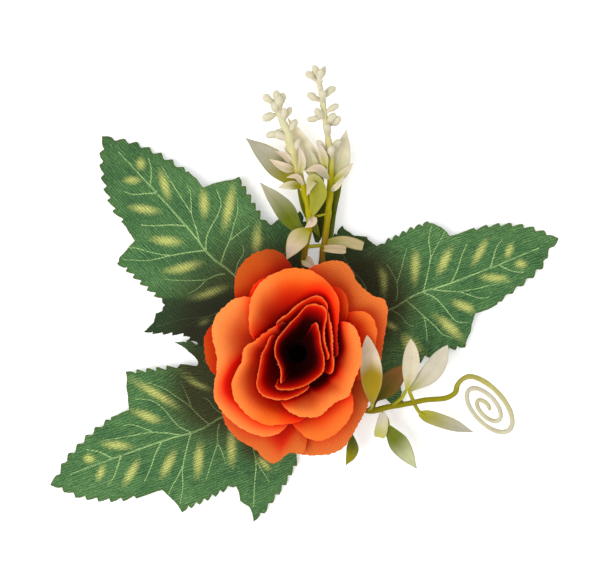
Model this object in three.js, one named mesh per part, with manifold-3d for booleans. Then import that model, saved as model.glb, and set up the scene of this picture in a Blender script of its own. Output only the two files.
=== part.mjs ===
// An artificial rose spray that lies face up: one fabric rose head on a peg, three toothed fabric leaves
// on moulded stems, a moulded sprig with two bud spikes and a moulded sprig with a coiled tendril. A
// winding of floral tape holds them together under the rose. Millimetres, +Z up. The origin is the middle
// of the cut stub's end, on the surface that the spray lies on.
import * as THREE from 'three';
import { mergeVertices } from 'three/addons/utils/BufferGeometryUtils.js';
import Module from 'manifold-3d';

const wasm = await Module();
wasm.setup();

const point = (x, y, z) => new THREE.Vector3(x, y, z);
const radians = THREE.MathUtils.degToRad;
const mix = THREE.MathUtils.lerp;
const smooth = THREE.MathUtils.smoothstep;

// ---------------------------------------------------------------- driving dimensions

const GAP = 0.3; // between pieces that meet

const STUB_RADIUS = 2.6;
const PEG_RADIUS = 1.8;
const PEG_HOLE = 2.2;
const KNOB_RADIUS = 2.8;
const KNOB_HEIGHT = 2.4;

const TURNED_SEGMENTS = 18;
const BINDING_RADIUS = 6.5;
const BINDING_TOP = 11;
const BINDING_EDGE = 0.8; // its worn lower and upper edges
const SOCKET_DEPTH_RADIUS = 3.6; // how near the axis a stem's hidden end comes

const PETAL_CLOTH = 0.6;
const HUB_THICKNESS = 0.8;
const HUB_MARGIN = 0.7; // hub disc beyond the petals' roots
const PETAL_STEP = 5; // distance between a petal's columns at its rim
const PETAL_ROWS = 4;
const PETAL_ROW_SPREAD = 0.85; // below 1, the rows crowd towards the rim
const PETAL_LEAST_COLUMNS = 6;
const SHOULDER = 20; // degrees over which a petal's rounded corner falls away
const SHOULDER_DROP = 0.42; // part of the petal's length that its side edges lack
const RIM_WAVE = 0.5;

const LEAF_CLOTH = 0.8;
const LEAF_GRID = 8;
const LEAF_DROOP = 2.2; // at LEAF_HALF from the midrib
const LEAF_HALF = 25;
const LEAF_DROOP_POWER = 1.6;
const DIE_DEPTH = 30;
const LEAF_REST = LEAF_CLOTH / 2; // a leaf's middle surface where it touches the ground

const LEAF_STEM_RADIUS = 0.9;
const SPRIG_STEM_RADIUS = 1.1;
const STALK_RADIUS = 0.7;
const TENDRIL_END_RADIUS = 0.8;
const STEM_SIDES = 6;
const STEM_STEP = 4;
const LEAF_STEM_STEP = 5;
const COIL_STEP = 2.4;
const SPRIG_LEAF_THICKNESS = 0.8;
const BUD_LENGTH = 6;
const BUD_RADIUS = 1.35;
const WHORL_STEP = 4.6;
const BUDS_IN_WHORL = 3;
const BUDS_AT_TOP = 4;
const TOP_SETBACK = 0.4; // the top buds' roots below the spike's end
const TOP_LEAN = 30; // degrees off the spike
const WHORL_LEAN = 58;
const WHORL_TURN = 63; // each whorl against the one below
const FIRST_TURN = 20;

// ---------------------------------------------------------------- closed bodies

function signedVolume(positions, faces) {
  const at = (k) => point(...positions[k]);
  return faces.reduce((sum, [a, b, c]) => sum + at(a).dot(at(b).cross(at(c))) / 6, 0);
}

// A closed geometry from plain vertex and face lists, turned so that its faces point out.
function body(positions, faces) {
  const outward = signedVolume(positions, faces) > 0;
  const geometry = new THREE.BufferGeometry();
  geometry.setAttribute('position', new THREE.Float32BufferAttribute(positions.flat(), 3));
  geometry.setIndex(faces.flatMap(([a, b, c]) => (outward ? [a, b, c] : [a, c, b])));
  return geometry;
}

function toSolid(geometry) {
  const bare = geometry.clone();
  bare.deleteAttribute('normal');
  bare.deleteAttribute('uv');
  const merged = mergeVertices(bare, 1e-4);
  return new wasm.Manifold(
    new wasm.Mesh({
      numProp: 3,
      vertProperties: new Float32Array(merged.attributes.position.array),
      triVerts: new Uint32Array(merged.index.array),
    }),
  );
}

function toGeometry(solid) {
  const mesh = solid.getMesh();
  const geometry = new THREE.BufferGeometry();
  geometry.setAttribute('position', new THREE.Float32BufferAttribute(mesh.vertProperties, 3));
  geometry.setIndex(Array.from(mesh.triVerts));
  return geometry;
}

// The largest shell of a joined body: a hollow sealed by the joining is filled and a loose scrap dropped.
function mainShell(geometry) {
  const corners = geometry.attributes.position;
  const index = geometry.index.array;
  const owner = Array.from({ length: corners.count }, (_, k) => k);
  const find = (k) => {
    let root = k;
    while (owner[root] !== root) {
      owner[root] = owner[owner[root]];
      root = owner[root];
    }
    return root;
  };
  for (let f = 0; f < index.length; f += 3) {
    owner[find(index[f + 1])] = find(index[f]);
    owner[find(index[f + 2])] = find(index[f]);
  }
  const shells = new Map();
  for (let f = 0; f < index.length; f += 3) {
    const shell = find(index[f]);
    shells.set(shell, [...(shells.get(shell) ?? []), index[f], index[f + 1], index[f + 2]]);
  }
  const volume = (faces) => {
    const corner = (k) => new THREE.Vector3().fromBufferAttribute(corners, k);
    let sum = 0;
    for (let f = 0; f < faces.length; f += 3) {
      sum += corner(faces[f]).dot(corner(faces[f + 1]).cross(corner(faces[f + 2])));
    }
    return sum;
  };
  const largest = [...shells.values()].sort((a, b) => volume(b) - volume(a))[0];
  geometry.setIndex(largest);
  return geometry;
}

const fuse = (geometries) =>
  mainShell(toGeometry(geometries.map(toSolid).reduce((all, next) => all.add(next))));

const cut = (geometry, cutters) =>
  toGeometry(cutters.map(toSolid).reduce((rest, next) => rest.subtract(next), toSolid(geometry)));

// A skin over closed rings of points, with a fan over each end.
function loft(rings) {
  const sides = rings[0].length;
  const positions = rings.flat().map((p) => p.toArray());
  const faces = [];
  for (let r = 0; r + 1 < rings.length; r++) {
    for (let s = 0; s < sides; s++) {
      const a = r * sides + s;
      const b = r * sides + ((s + 1) % sides);
      faces.push([a, b, b + sides], [a, b + sides, a + sides]);
    }
  }
  for (const [ring, first] of [[rings[0], 0], [rings.at(-1), (rings.length - 1) * sides]]) {
    const middle = ring.reduce((sum, p) => sum.add(p), point(0, 0, 0)).divideScalar(sides);
    const hub = positions.push(middle.toArray()) - 1;
    for (let s = 0; s < sides; s++) {
      const edge = [first + s, first + ((s + 1) % sides)];
      faces.push(first === 0 ? [hub, edge[1], edge[0]] : [hub, edge[0], edge[1]]);
    }
  }
  return body(positions, faces);
}

// A sheet of even thickness from the columns and rows of its two faces, split alike on both.
function slab(over, under) {
  const columns = over.length;
  const rows = over[0].length;
  const positions = [...over.flat(), ...under.flat()].map((p) => p.toArray());
  const top = (i, j) => i * rows + j;
  const low = (i, j) => top(i, j) + columns * rows;
  const faces = [];
  const addWall = (corners, isFarSide) => {
    const [a, b, c, d] = isFarSide ? corners.reverse() : corners;
    faces.push([a, b, c], [a, c, d]);
  };
  for (let i = 0; i + 1 < columns; i++) {
    for (let j = 0; j + 1 < rows; j++) {
      const [a, b, c, d] = [[i, j], [i + 1, j], [i + 1, j + 1], [i, j + 1]];
      faces.push([top(...a), top(...b), top(...c)], [top(...a), top(...c), top(...d)]);
      faces.push([low(...a), low(...c), low(...b)], [low(...a), low(...d), low(...c)]);
    }
    for (const j of [0, rows - 1]) {
      addWall([top(i, j), low(i, j), low(i + 1, j), top(i + 1, j)], j > 0);
    }
  }
  for (const i of [0, columns - 1]) {
    for (let j = 0; j + 1 < rows; j++) {
      addWall([top(i, j), top(i, j + 1), low(i, j + 1), low(i, j)], i > 0);
    }
  }
  return body(positions, faces);
}

// A round stem along a smooth path through the points, from one radius to another.
function stem(points, radius, endRadius = radius, sides = STEM_SIDES, step = STEM_STEP) {
  const path = new THREE.CatmullRomCurve3(points);
  const count = Math.max(1, Math.round(path.getLength() / step));
  const { normals, binormals } = path.computeFrenetFrames(count);
  const rings = normals.map((normal, k) => {
    const r = mix(radius, endRadius, k / count);
    const centre = path.getPointAt(k / count);
    return Array.from({ length: sides }, (_, s) => {
      const turn = (2 * Math.PI * s) / sides;
      return centre.clone()
        .addScaledVector(normal, r * Math.cos(turn))
        .addScaledVector(binormals[k], r * Math.sin(turn));
    });
  });
  return loft(rings);
}

// A body turned about +Z from [radius, height] pairs.
function turned(profile) {
  const section = profile.map(([r, z]) => new THREE.Vector2(r, z));
  return new THREE.LatheGeometry(section, TURNED_SEGMENTS).rotateX(Math.PI / 2);
}

// ---------------------------------------------------------------- rose stem, calyx and binding

const HUB_LEVELS = [21.0, 19.8, 18.6, 17.4, 16.2]; // middle of each ring's hub disc, inner ring first

function roseStem() {
  const knobBase = HUB_LEVELS[0] + HUB_THICKNESS / 2 + GAP;
  const shoulder = BINDING_TOP + GAP;
  return turned([
    [0, 0], [STUB_RADIUS, 0], [STUB_RADIUS, shoulder], [PEG_RADIUS, shoulder], [PEG_RADIUS, knobBase],
    [KNOB_RADIUS, knobBase], [KNOB_RADIUS, knobBase + KNOB_HEIGHT / 2],
    [PEG_RADIUS, knobBase + KNOB_HEIGHT * 0.9], [0, knobBase + KNOB_HEIGHT],
  ]);
}

const CALYX_BASE = BINDING_TOP + 2 * GAP;
const CALYX_TOP = HUB_LEVELS[4] - HUB_THICKNESS / 2 - GAP;
const CALYX_RADIUS = 7.5;
const CALYX_FOOT_RADIUS = 3.2;
const CALYX_WAIST = [4.6, 1.2]; // radius, and height above the foot
const CALYX_SHOULDER = [6.6, 1.3]; // radius, and depth below the top
const CALYX_LIP = 0.4;
const SEPALS = 5;
const SEPAL_ROOT_RADIUS = 5;
const SEPAL_BEND_RADIUS = 12;
const SEPAL_DROOP = 0.6;
const SEPAL_TIP_RADIUS = 19;
const SEPAL_WIDTH = 7;

function calyx() {
  const cup = turned([
    [PEG_HOLE, CALYX_BASE], [CALYX_FOOT_RADIUS, CALYX_BASE], [CALYX_WAIST[0], CALYX_BASE + CALYX_WAIST[1]],
    [CALYX_SHOULDER[0], CALYX_TOP - CALYX_SHOULDER[1]], [CALYX_RADIUS, CALYX_TOP - CALYX_LIP],
    [CALYX_RADIUS, CALYX_TOP], [PEG_HOLE, CALYX_TOP], [PEG_HOLE, CALYX_BASE],
  ]);
  const level = CALYX_TOP - SPRIG_LEAF_THICKNESS;
  const sepals = Array.from({ length: SEPALS }, (_, k) => {
    const turn = radians(90 + (360 * k) / SEPALS);
    const reach = (r, z) => point(r * Math.cos(turn), r * Math.sin(turn), z);
    const midline = [
      reach(SEPAL_ROOT_RADIUS, level),
      reach(SEPAL_BEND_RADIUS, level),
      reach(SEPAL_TIP_RADIUS, level - SEPAL_DROOP),
    ];
    return blade(midline, SEPAL_WIDTH);
  });
  return fuse([cup, ...sepals]);
}

// Where each stem enters the tape: the way it points, degrees, and its height.
const SOCKETS = {
  right_leaf: { heading: 28, level: 4.5, radius: LEAF_STEM_RADIUS },
  lower_left_leaf: { heading: 230, level: 4.5, radius: LEAF_STEM_RADIUS },
  upper_left_leaf: { heading: 132, level: 6.8, radius: LEAF_STEM_RADIUS },
  bud_sprig: { heading: 79, level: 8.6, radius: SPRIG_STEM_RADIUS },
  tendril_sprig: { heading: 319, level: 8.6, radius: SPRIG_STEM_RADIUS },
};

function socketPoint({ heading, level }, distance) {
  return point(distance * Math.cos(radians(heading)), distance * Math.sin(radians(heading)), level);
}

// The first stretch of a stem, straight out of its hole in the tape.
const socketStart = (socket) =>
  [socketPoint(socket, SOCKET_DEPTH_RADIUS + GAP), socketPoint(socket, BINDING_RADIUS + 1)];

function binding() {
  const core = STUB_RADIUS + GAP;
  const roll = turned([
    [core, 0], [BINDING_RADIUS - BINDING_EDGE, 0], [BINDING_RADIUS, BINDING_EDGE],
    [BINDING_RADIUS, BINDING_TOP - BINDING_EDGE], [BINDING_RADIUS - BINDING_EDGE, BINDING_TOP],
    [core, BINDING_TOP], [core, 0],
  ]);
  const bores = Object.values(SOCKETS).map((socket) => {
    const ends = [socketPoint(socket, SOCKET_DEPTH_RADIUS), socketPoint(socket, BINDING_RADIUS + 1)];
    return stem(ends, socket.radius + GAP);
  });
  return cut(roll, bores);
}

// ---------------------------------------------------------------- petals

// Each petal is a fan of curved meridians round the rose's axis. Its rim is [degrees, radius] pairs, and
// height is the rim's height at the first and the last of them.
const PETAL_RINGS = [
  {
    root: 3.5,
    petals: [
      {
        height: [45, 45],
        rim: [[-12, 11.8], [12, 10.9], [29, 11.4], [41, 13], [48, 15], [53, 17.3], [58, 19.2], [66, 19.7],
          [77, 18.7], [82, 17.1], [89, 14.3], [102, 12], [120, 10.2], [145, 9.4], [166, 8.7], [186, 8.1],
          [204, 7.7], [222, 8.2], [232, 9.6], [239, 12]],
      },
      {
        height: [44.4, 44],
        rim: [[228, 13.2], [240, 14.6], [250, 13.7], [263, 12.5], [276, 11.7], [293, 11], [311, 10.8],
          [326, 11], [340, 10.4], [355, 9.6], [372, 9.1], [390, 9.6], [404, 11.3]],
      },
    ],
  },
  {
    root: 4,
    petals: [
      {
        height: [43.5, 45],
        rim: [[5, 13], [20, 13.6], [40, 16], [55, 19.3], [60, 21.3], [65, 22.5], [71, 22.7], [76, 21.8],
          [82, 20.2], [90, 18.3], [98, 16.5], [106, 15.2], [117, 14.6], [128, 14.4]],
      },
      {
        height: [45, 43.5],
        rim: [[138, 12.2], [157, 11.7], [169, 12], [180, 13], [191, 13.8], [200, 15.1], [209, 16.8],
          [217, 18.8], [225, 19.5], [233, 19.2], [242, 18.3], [251, 17.3], [258, 16.4], [266, 15.2],
          [281, 13.6], [292, 13.2]],
      },
    ],
  },
  {
    root: 4.5,
    petals: [
      {
        height: [42, 43.5],
        rim: [[-8, 15.4], [16, 15.2], [27, 16.2], [36, 18.1], [44, 20.8], [49, 23.2], [56, 25.7],
          [64, 27.9], [73, 29.7], [82, 31.1], [92, 31.5], [102, 31.2], [111, 30.3], [120, 29],
          [130, 26.4], [138, 23.8], [147, 21.2], [164, 18.1]],
      },
      {
        height: [42, 42],
        rim: [[138, 13.8], [148, 14.6], [162, 16.4], [171, 19.3], [178, 20], [187, 20.5], [194, 22.7],
          [202, 25.7], [209, 27.3], [217, 28.2], [230, 28.5], [243, 28.2], [250, 27.3], [258, 25.9],
          [268, 25.2], [282, 25.6]],
      },
      {
        height: [41.5, 43],
        rim: [[246, 20], [261, 21], [273, 22.5], [284, 23.4], [289, 23.7], [299, 22.6], [310, 22.2],
          [321, 23.8], [328, 23.1], [340, 22.6], [350, 23.2], [371, 23.3], [390, 23.3], [400, 22.6]],
      },
    ],
  },
  {
    root: 5,
    petals: [
      {
        height: [34, 34],
        rim: [[68, 31], [85, 31], [102, 30.8], [120, 30.4], [138, 29.5]],
      },
      {
        height: [37, 38],
        rim: [[122, 28], [133, 30.1], [147, 32.1], [158, 33], [169, 31.8], [176, 30.2], [185, 29.6],
          [193, 30.6], [202, 33.2], [210, 34.6], [219, 34.7], [235, 33.9], [251, 32.2], [265, 30.6]],
      },
      {
        height: [35, 36],
        rim: [[258, 26.6], [270, 28.4], [276, 30.7], [282, 32.4], [286, 32.9], [292, 32.6], [299, 31.8],
          [308, 30.4], [315, 28.8], [322, 26.9], [332, 24.9]],
      },
      {
        height: [34, 35],
        rim: [[33, 26.2], [42, 26.6], [48, 27.5], [54, 28.5], [60, 28.9], [75, 30]],
      },
      {
        height: [30, 34],
        rim: [[-12, 26.4], [0, 28], [12, 29.7], [17, 30.4], [28, 30.8], [34, 30.4], [42, 28.6]],
      },
    ],
  },
  {
    root: 5.5,
    petals: [
      {
        height: [27, 28],
        rim: [[88, 34], [94, 36.6], [99, 39], [105, 40.2], [114, 40.4], [121, 39.4], [127, 37.6],
          [134, 34.8], [146, 32]],
      },
      {
        height: [27, 27],
        rim: [[148, 32], [157, 33], [164, 34.5], [172, 35], [184, 34], [192, 33.4], [204, 33]],
      },
      {
        height: [27, 28],
        shoulder: 9,
        rim: [[205, 33], [214, 34.4], [224, 37.3], [233, 38.4], [242, 38.4], [247, 38.9], [252, 40.8],
          [257, 41.8], [262, 41], [267, 38.4]],
      },
      {
        height: [27, 24],
        rim: [[258, 35.6], [270, 37.2], [278, 38.2], [287, 39.2], [295, 39], [302, 37], [310, 34.6],
          [319, 33.2], [328, 32.3], [338, 31]],
      },
      {
        height: [24, 28],
        rim: [[-25, 30], [-6, 30.8], [5, 31.7], [13, 33.2], [21, 35.5], [27, 37.3], [32, 37.7], [37, 35.3],
          [45, 34.2], [52, 34.9], [58, 37], [64, 37.8], [70, 36.6], [78, 34], [86, 32.4], [94, 31]],
      },
    ],
  },
];

// The value at a place along a list of [place, value] pairs: a smooth curve through them.
function curveThrough(pairs, place) {
  const last = pairs.length - 1;
  const passed = pairs.filter(([start]) => start <= place).length;
  const k = THREE.MathUtils.clamp(passed - 1, 0, last - 1);
  const [[from, low], [to, high]] = [pairs[k], pairs[k + 1]];
  const slope = (i) => {
    const [before, after] = [pairs[Math.max(0, i - 1)], pairs[Math.min(last, i + 1)]];
    return ((after[1] - before[1]) / (after[0] - before[0])) * (to - from);
  };
  const t = (place - from) / (to - from);
  return (2 * t ** 3 - 3 * t ** 2 + 1) * low + (t ** 3 - 2 * t ** 2 + t) * slope(k)
    + (3 * t ** 2 - 2 * t ** 3) * high + (t ** 3 - t ** 2) * slope(k + 1);
}

const bezier = (v, a, b, c, d) =>
  (1 - v) ** 3 * a + 3 * v * (1 - v) ** 2 * b + 3 * v ** 2 * (1 - v) * c + v ** 3 * d;

// The shares of reach and of rise at a meridian's two inner control points: flat out from the hub, up the
// cup's wall, and over into the rolled rim.
const REACH = [0.55, 0.85];
const RISE = [0.03, 1.02];

function petalPoint(petal, root, hub, degrees, v) {
  const { rim, height } = petal;
  const [first, last] = [rim[0][0], rim.at(-1)[0]];
  const radius = curveThrough(rim, degrees);
  const wave = RIM_WAVE * Math.sin(radians(4 * degrees + 9 * rim.length)) * v ** 3;
  const top = mix(height[0], height[1], (degrees - first) / (last - first)) + wave;
  const r = bezier(v, root, mix(root, radius, REACH[0]), mix(root, radius, REACH[1]), radius);
  const z = bezier(v, hub, mix(hub, top, RISE[0]), mix(hub, top, RISE[1]), top);
  return point(r * Math.cos(radians(degrees)), r * Math.sin(radians(degrees)), z);
}

// How far up its meridian a petal goes at an angle, with a rounded corner at both ends.
function petalReach(petal, degrees) {
  const ends = Math.min(degrees - petal.rim[0][0], petal.rim.at(-1)[0] - degrees);
  const inward = Math.min(1, ends / (petal.shoulder ?? SHOULDER));
  return 1 - SHOULDER_DROP * (1 - Math.sqrt(1 - (1 - inward) ** 2));
}

function petal(shape, root, hub) {
  const [first, last] = [shape.rim[0][0], shape.rim.at(-1)[0]];
  const meanRadius = shape.rim.reduce((sum, [, r]) => sum + r, 0) / shape.rim.length;
  const arc = radians(last - first) * meanRadius;
  const columns = Math.max(PETAL_LEAST_COLUMNS, Math.round(arc / PETAL_STEP));
  const over = [];
  const under = [];
  for (let i = 0; i <= columns; i++) {
    const degrees = mix(first, last, i / columns);
    const reach = petalReach(shape, degrees);
    const line = (turn, v) => petalPoint(shape, root, hub, turn, v);
    const [upper, lower] = [[], []];
    for (let j = 0; j <= PETAL_ROWS; j++) {
      const v = reach * (j / PETAL_ROWS) ** PETAL_ROW_SPREAD;
      const middle = line(degrees, v);
      const along = line(degrees, v + 0.01).sub(line(degrees, Math.max(0, v - 0.01)));
      const across = line(Math.min(last, degrees + 0.5), v).sub(line(Math.max(first, degrees - 0.5), v));
      const normal = along.cross(across).normalize().multiplyScalar(PETAL_CLOTH / 2);
      upper.push(middle.clone().add(normal));
      lower.push(middle.clone().sub(normal));
    }
    over.push(upper);
    under.push(lower);
  }
  return slab(over, under);
}

function petalRing(index) {
  const { root, petals } = PETAL_RINGS[index];
  const hub = HUB_LEVELS[index];
  const [low, high] = [hub - HUB_THICKNESS / 2, hub + HUB_THICKNESS / 2];
  const outer = root + HUB_MARGIN;
  const disc = turned([[PEG_HOLE, low], [outer, low], [outer, high], [PEG_HOLE, high], [PEG_HOLE, low]]);
  return fuse([disc, ...petals.map((shape) => petal(shape, root, hub))]);
}

// ---------------------------------------------------------------- fabric leaves

// The die-cut outline, in drawing units: from the tip at (150, 0) back to the stem at (-60, 0). Each edge
// ends at to, bulges outwards by bulge, and is cut into forward-pointing teeth.
const LEAF_TIP = [150, 0];
const LEAF_SINUS = [-60, 0];
const TOOTH_DEPTH = 4.2;
const DEEP_BULGE = 1.5; // an edge that bulges by more is cut in several straights
const BULGE_STEPS = 3;
const LEFT_EDGES = [
  { to: [77, 42], bulge: 8.7, teeth: 7 },
  { to: [47, 42.5] },
  { to: [42, 54] },
  { to: [38, 70], bulge: -1 },
  { to: [-15, 65], bulge: 1, teeth: 6 },
  { to: [-22, 64] },
  { to: [-20, 79], bulge: -1 },
  { to: [-27, 88] },
  { to: [-25, 103], bulge: -1 },
  { to: [-92, 58], bulge: 9, teeth: 7 },
  { to: [-93, 40], bulge: 2 },
  { to: [-84, 22], bulge: 2 },
  { to: LEAF_SINUS, bulge: 3 },
];
const RIGHT_EDGES = [
  { to: [70, -41], bulge: 7.6, teeth: 7 },
  { to: [46, -41] },
  { to: [42, -50] },
  { to: [36, -61] },
  { to: [30, -73], bulge: -1 },
  { to: [-15, -61], bulge: 2, teeth: 5 },
  { to: [-27, -60] },
  { to: [-29, -71], bulge: -1 },
  { to: [-26, -80] },
  { to: [-24, -95], bulge: -1 },
  { to: [-90, -52], bulge: 8, teeth: 7 },
  { to: [-90, -36], bulge: 2 },
  { to: [-82, -20], bulge: 2 },
  { to: LEAF_SINUS, bulge: 3 },
];

// One side of the outline. side is 1 on the left and -1 on the right, and an edge without teeth is smooth.
function cutEdges(edges, side) {
  const outline = [];
  let from = new THREE.Vector2(...LEAF_TIP);
  for (const { to, bulge = 0, teeth = 0 } of edges) {
    const end = new THREE.Vector2(...to);
    const chord = end.clone().sub(from);
    const outward = new THREE.Vector2(chord.y, -chord.x).normalize().multiplyScalar(side);
    const steps = teeth || (Math.abs(bulge) > DEEP_BULGE ? BULGE_STEPS : 1);
    for (let k = 1; k <= steps; k++) {
      const t = k / steps;
      const onEdge = from.clone().addScaledVector(chord, t).addScaledVector(outward, 4 * bulge * t * (1 - t));
      if (teeth) {
        outline.push(onEdge.clone().addScaledVector(outward, -TOOTH_DEPTH));
      }
      outline.push(onEdge);
    }
    from = end;
  }
  return outline;
}

// The three leaves are the same cloth, each bent its own way. heading is the way the tip points, unit is
// millimetres for one drawing unit, and at is where the side veins meet. Each of the four side lobes is
// pushed by its tip's [x, y] shift, and the back lobes are also gathered towards their own vein.
const LEAVES = {
  upper_left_leaf: {
    at: [-34.9, 38.5],
    heading: 132.9,
    unit: 0.3925,
    heights: [[-95, 7.6], [-60, 9], [0, 9], [60, 7], [110, 2.8], [138, 0.6], [150, 0.4]],
    shifts: { leftFront: [12, 0], rightFront: [0, 1], leftBack: [8, -5], rightBack: [-12, 1] },
    gather: { left: 0.45, right: 0.45 },
  },
  right_leaf: {
    at: [47.3, 22.9],
    heading: 21.9,
    unit: 0.3692,
    heights: [[-95, 4], [-60, 5.5], [0, 7], [60, 5.8], [110, 2.5], [138, 0.6], [150, 0.4]],
    shifts: { leftFront: [-7, -3], rightFront: [-12, 4], leftBack: [-28, -10], rightBack: [-40, 2] },
    gather: { left: 0.45, right: 0.3 },
  },
  lower_left_leaf: {
    at: [-40.4, -30.4],
    heading: 200.5,
    unit: 0.3823,
    heights: [[-95, 4], [-60, 5.5], [0, 7], [60, 5.8], [110, 2.5], [138, 0.6], [150, 0.4]],
    shifts: { leftFront: [-2, 1], rightFront: [11, -7], leftBack: [-1, 2], rightBack: [9, 6] },
    gather: { left: 0, right: 0 },
  },
};

// Where a point of the flat drawing lies on the bent leaf, still in drawing units.
function bendOutline(leaf, p) {
  const side = p.y > 0 ? 'left' : 'right';
  const outer = smooth(Math.abs(p.y), 25, 85);
  const back = smooth(-p.x, 8, 34);
  const [frontShift, backShift] = [leaf.shifts[`${side}Front`], leaf.shifts[`${side}Back`]];
  const vein = mix(-55, -31, Math.abs(p.y) / 88);
  const behind = Math.max(0, vein - p.x);
  return new THREE.Vector2(
    p.x + outer * (mix(frontShift[0], backShift[0], back) + leaf.gather[side] * behind),
    p.y + outer * mix(frontShift[1], backShift[1], back),
  );
}

function leafHeight(leaf, x, y) {
  const { heights, unit } = leaf;
  const along = THREE.MathUtils.clamp(x / unit, heights[0][0], heights.at(-1)[0]);
  const lengthwise = curveThrough(heights, along);
  const droop = LEAF_DROOP * (Math.abs(y) / LEAF_HALF) ** LEAF_DROOP_POWER;
  return Math.max(LEAF_REST, lengthwise - droop);
}

// A curved sheet stamped out by the outline's die.
function leafBlade(name) {
  const leaf = LEAVES[name];
  const left = cutEdges(LEFT_EDGES, 1);
  const right = cutEdges(RIGHT_EDGES, -1);
  right.pop();
  const flat = [new THREE.Vector2(...LEAF_TIP), ...left, ...right.reverse()];
  const outline = flat.map((p) => bendOutline(leaf, p).multiplyScalar(leaf.unit));
  const die = new THREE.ExtrudeGeometry(new THREE.Shape(outline), { depth: DIE_DEPTH, bevelEnabled: false });
  die.translate(0, 0, -DIE_DEPTH / 4);
  const box = new THREE.Box2().setFromPoints(outline).expandByScalar(1);
  const columns = Math.ceil((box.max.x - box.min.x) / LEAF_GRID);
  const rows = Math.ceil((box.max.y - box.min.y) / LEAF_GRID);
  const sheet = (offset) => Array.from({ length: columns + 1 }, (_, i) =>
    Array.from({ length: rows + 1 }, (__, j) => {
      const x = mix(box.min.x, box.max.x, i / columns);
      const y = mix(box.min.y, box.max.y, j / rows);
      return point(x, y, leafHeight(leaf, x, y) + offset);
    }));
  const cloth = slab(sheet(LEAF_CLOTH / 2), sheet(-LEAF_CLOTH / 2));
  return toGeometry(toSolid(cloth).intersect(toSolid(die)));
}

const MIDRIB = [[-62, -3], [-30, -3], [0, 0], [30, -2], [55, -3]]; // drawing units
const LEAF_STEM_DROP = 0.2; // below the gap, so that the blade's facets stay clear

// The moulded stem: out of the tape, under the sinus and along the midrib's underside.
function leafStem(name) {
  const leaf = LEAVES[name];
  const turn = radians(leaf.heading);
  const under = (x, y) => {
    const [px, py] = [x * leaf.unit, y * leaf.unit];
    const z = leafHeight(leaf, px, py) - LEAF_CLOTH / 2 - LEAF_STEM_RADIUS - GAP - LEAF_STEM_DROP;
    return point(
      leaf.at[0] + px * Math.cos(turn) - py * Math.sin(turn),
      leaf.at[1] + px * Math.sin(turn) + py * Math.cos(turn),
      z,
    );
  };
  const route = [...socketStart(SOCKETS[name]), ...MIDRIB.map(([x, y]) => under(x, y))];
  return stem(route, LEAF_STEM_RADIUS, LEAF_STEM_RADIUS * 0.7, STEM_SIDES, LEAF_STEM_STEP);
}

// ---------------------------------------------------------------- moulded sprigs

const BLADE_STATIONS = [[0, 0.2], [0.18, 0.62], [0.42, 1], [0.72, 0.68], [1, 0.08]];
const BLADE_NECK = 0.9; // least width near the root
const BLADE_POINT = 0.6; // least width near the tip

// A pointed moulded leaf along its points. Its middle lies lower than its edges by trough, and it lies
// flat across unless faced another way.
function blade(points, width, { trough = 0.6, facing = point(0, 0, 1) } = {}) {
  const path = points.length > 2 ? new THREE.CatmullRomCurve3(points) : new THREE.LineCurve3(...points);
  const rings = BLADE_STATIONS.map(([t, share]) => {
    const centre = path.getPointAt(t);
    const along = path.getTangentAt(t);
    const across = new THREE.Vector3().crossVectors(facing, along).normalize();
    const up = new THREE.Vector3().crossVectors(along, across).normalize();
    const half = Math.max(width * share, t < 0.5 ? BLADE_NECK : BLADE_POINT) / 2;
    const dip = trough * share;
    const skin = SPRIG_LEAF_THICKNESS / 2;
    const place = (side, rise) =>
      centre.clone().addScaledVector(across, side * half).addScaledVector(up, rise + dip * Math.abs(side));
    const over = [-1, 0, 1].map((side) => place(side, skin));
    const under = [1, 0, -1].map((side) => place(side, -skin));
    return [...over, ...under];
  });
  return loft(rings);
}

// A club-shaped bud on its stalk: [share of the length, share of the radius].
const BUD_PROFILE = [[0, 0.34], [0.4, 0.42], [0.72, 1], [1, 0.42]];
const BUD_SIDES = 4;

function bud(root, direction) {
  const helper = Math.abs(direction.z) > 0.9 ? point(1, 0, 0) : point(0, 0, 1);
  const across = new THREE.Vector3().crossVectors(direction, helper).normalize();
  const up = new THREE.Vector3().crossVectors(direction, across).normalize();
  const rings = BUD_PROFILE.map(([t, share]) => Array.from({ length: BUD_SIDES }, (_, s) => {
    const turn = (2 * Math.PI * s) / BUD_SIDES;
    return root.clone().addScaledVector(direction, t * BUD_LENGTH)
      .addScaledVector(across, share * BUD_RADIUS * Math.cos(turn))
      .addScaledVector(up, share * BUD_RADIUS * Math.sin(turn));
  }));
  return loft(rings);
}

// Whorls of buds round a spike, from a distance along it to its top, each turned against the last.
function budSpike(points, firstWhorl) {
  const path = new THREE.CatmullRomCurve3(points);
  const length = path.getLength();
  const whorls = Math.floor((length - firstWhorl) / WHORL_STEP);
  const buds = [];
  for (let w = 0; w <= whorls; w++) {
    const isTop = w === whorls;
    const count = isTop ? BUDS_AT_TOP : BUDS_IN_WHORL;
    const u = (length - (whorls - w) * WHORL_STEP - TOP_SETBACK) / length;
    const along = path.getTangentAt(u);
    const side = new THREE.Vector3().crossVectors(along, point(0, 0, 1)).normalize();
    const up = new THREE.Vector3().crossVectors(side, along).normalize();
    const lean = radians(isTop ? TOP_LEAN : WHORL_LEAN);
    for (let b = 0; b < count; b++) {
      const turn = 2 * Math.PI * (b / count) + radians(w * WHORL_TURN + FIRST_TURN);
      const outward = side.clone().multiplyScalar(Math.cos(turn)).addScaledVector(up, Math.sin(turn));
      const direction = along.clone().multiplyScalar(Math.cos(lean)).addScaledVector(outward, Math.sin(lean));
      buds.push(bud(path.getPointAt(u), direction));
    }
  }
  return buds;
}

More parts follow.
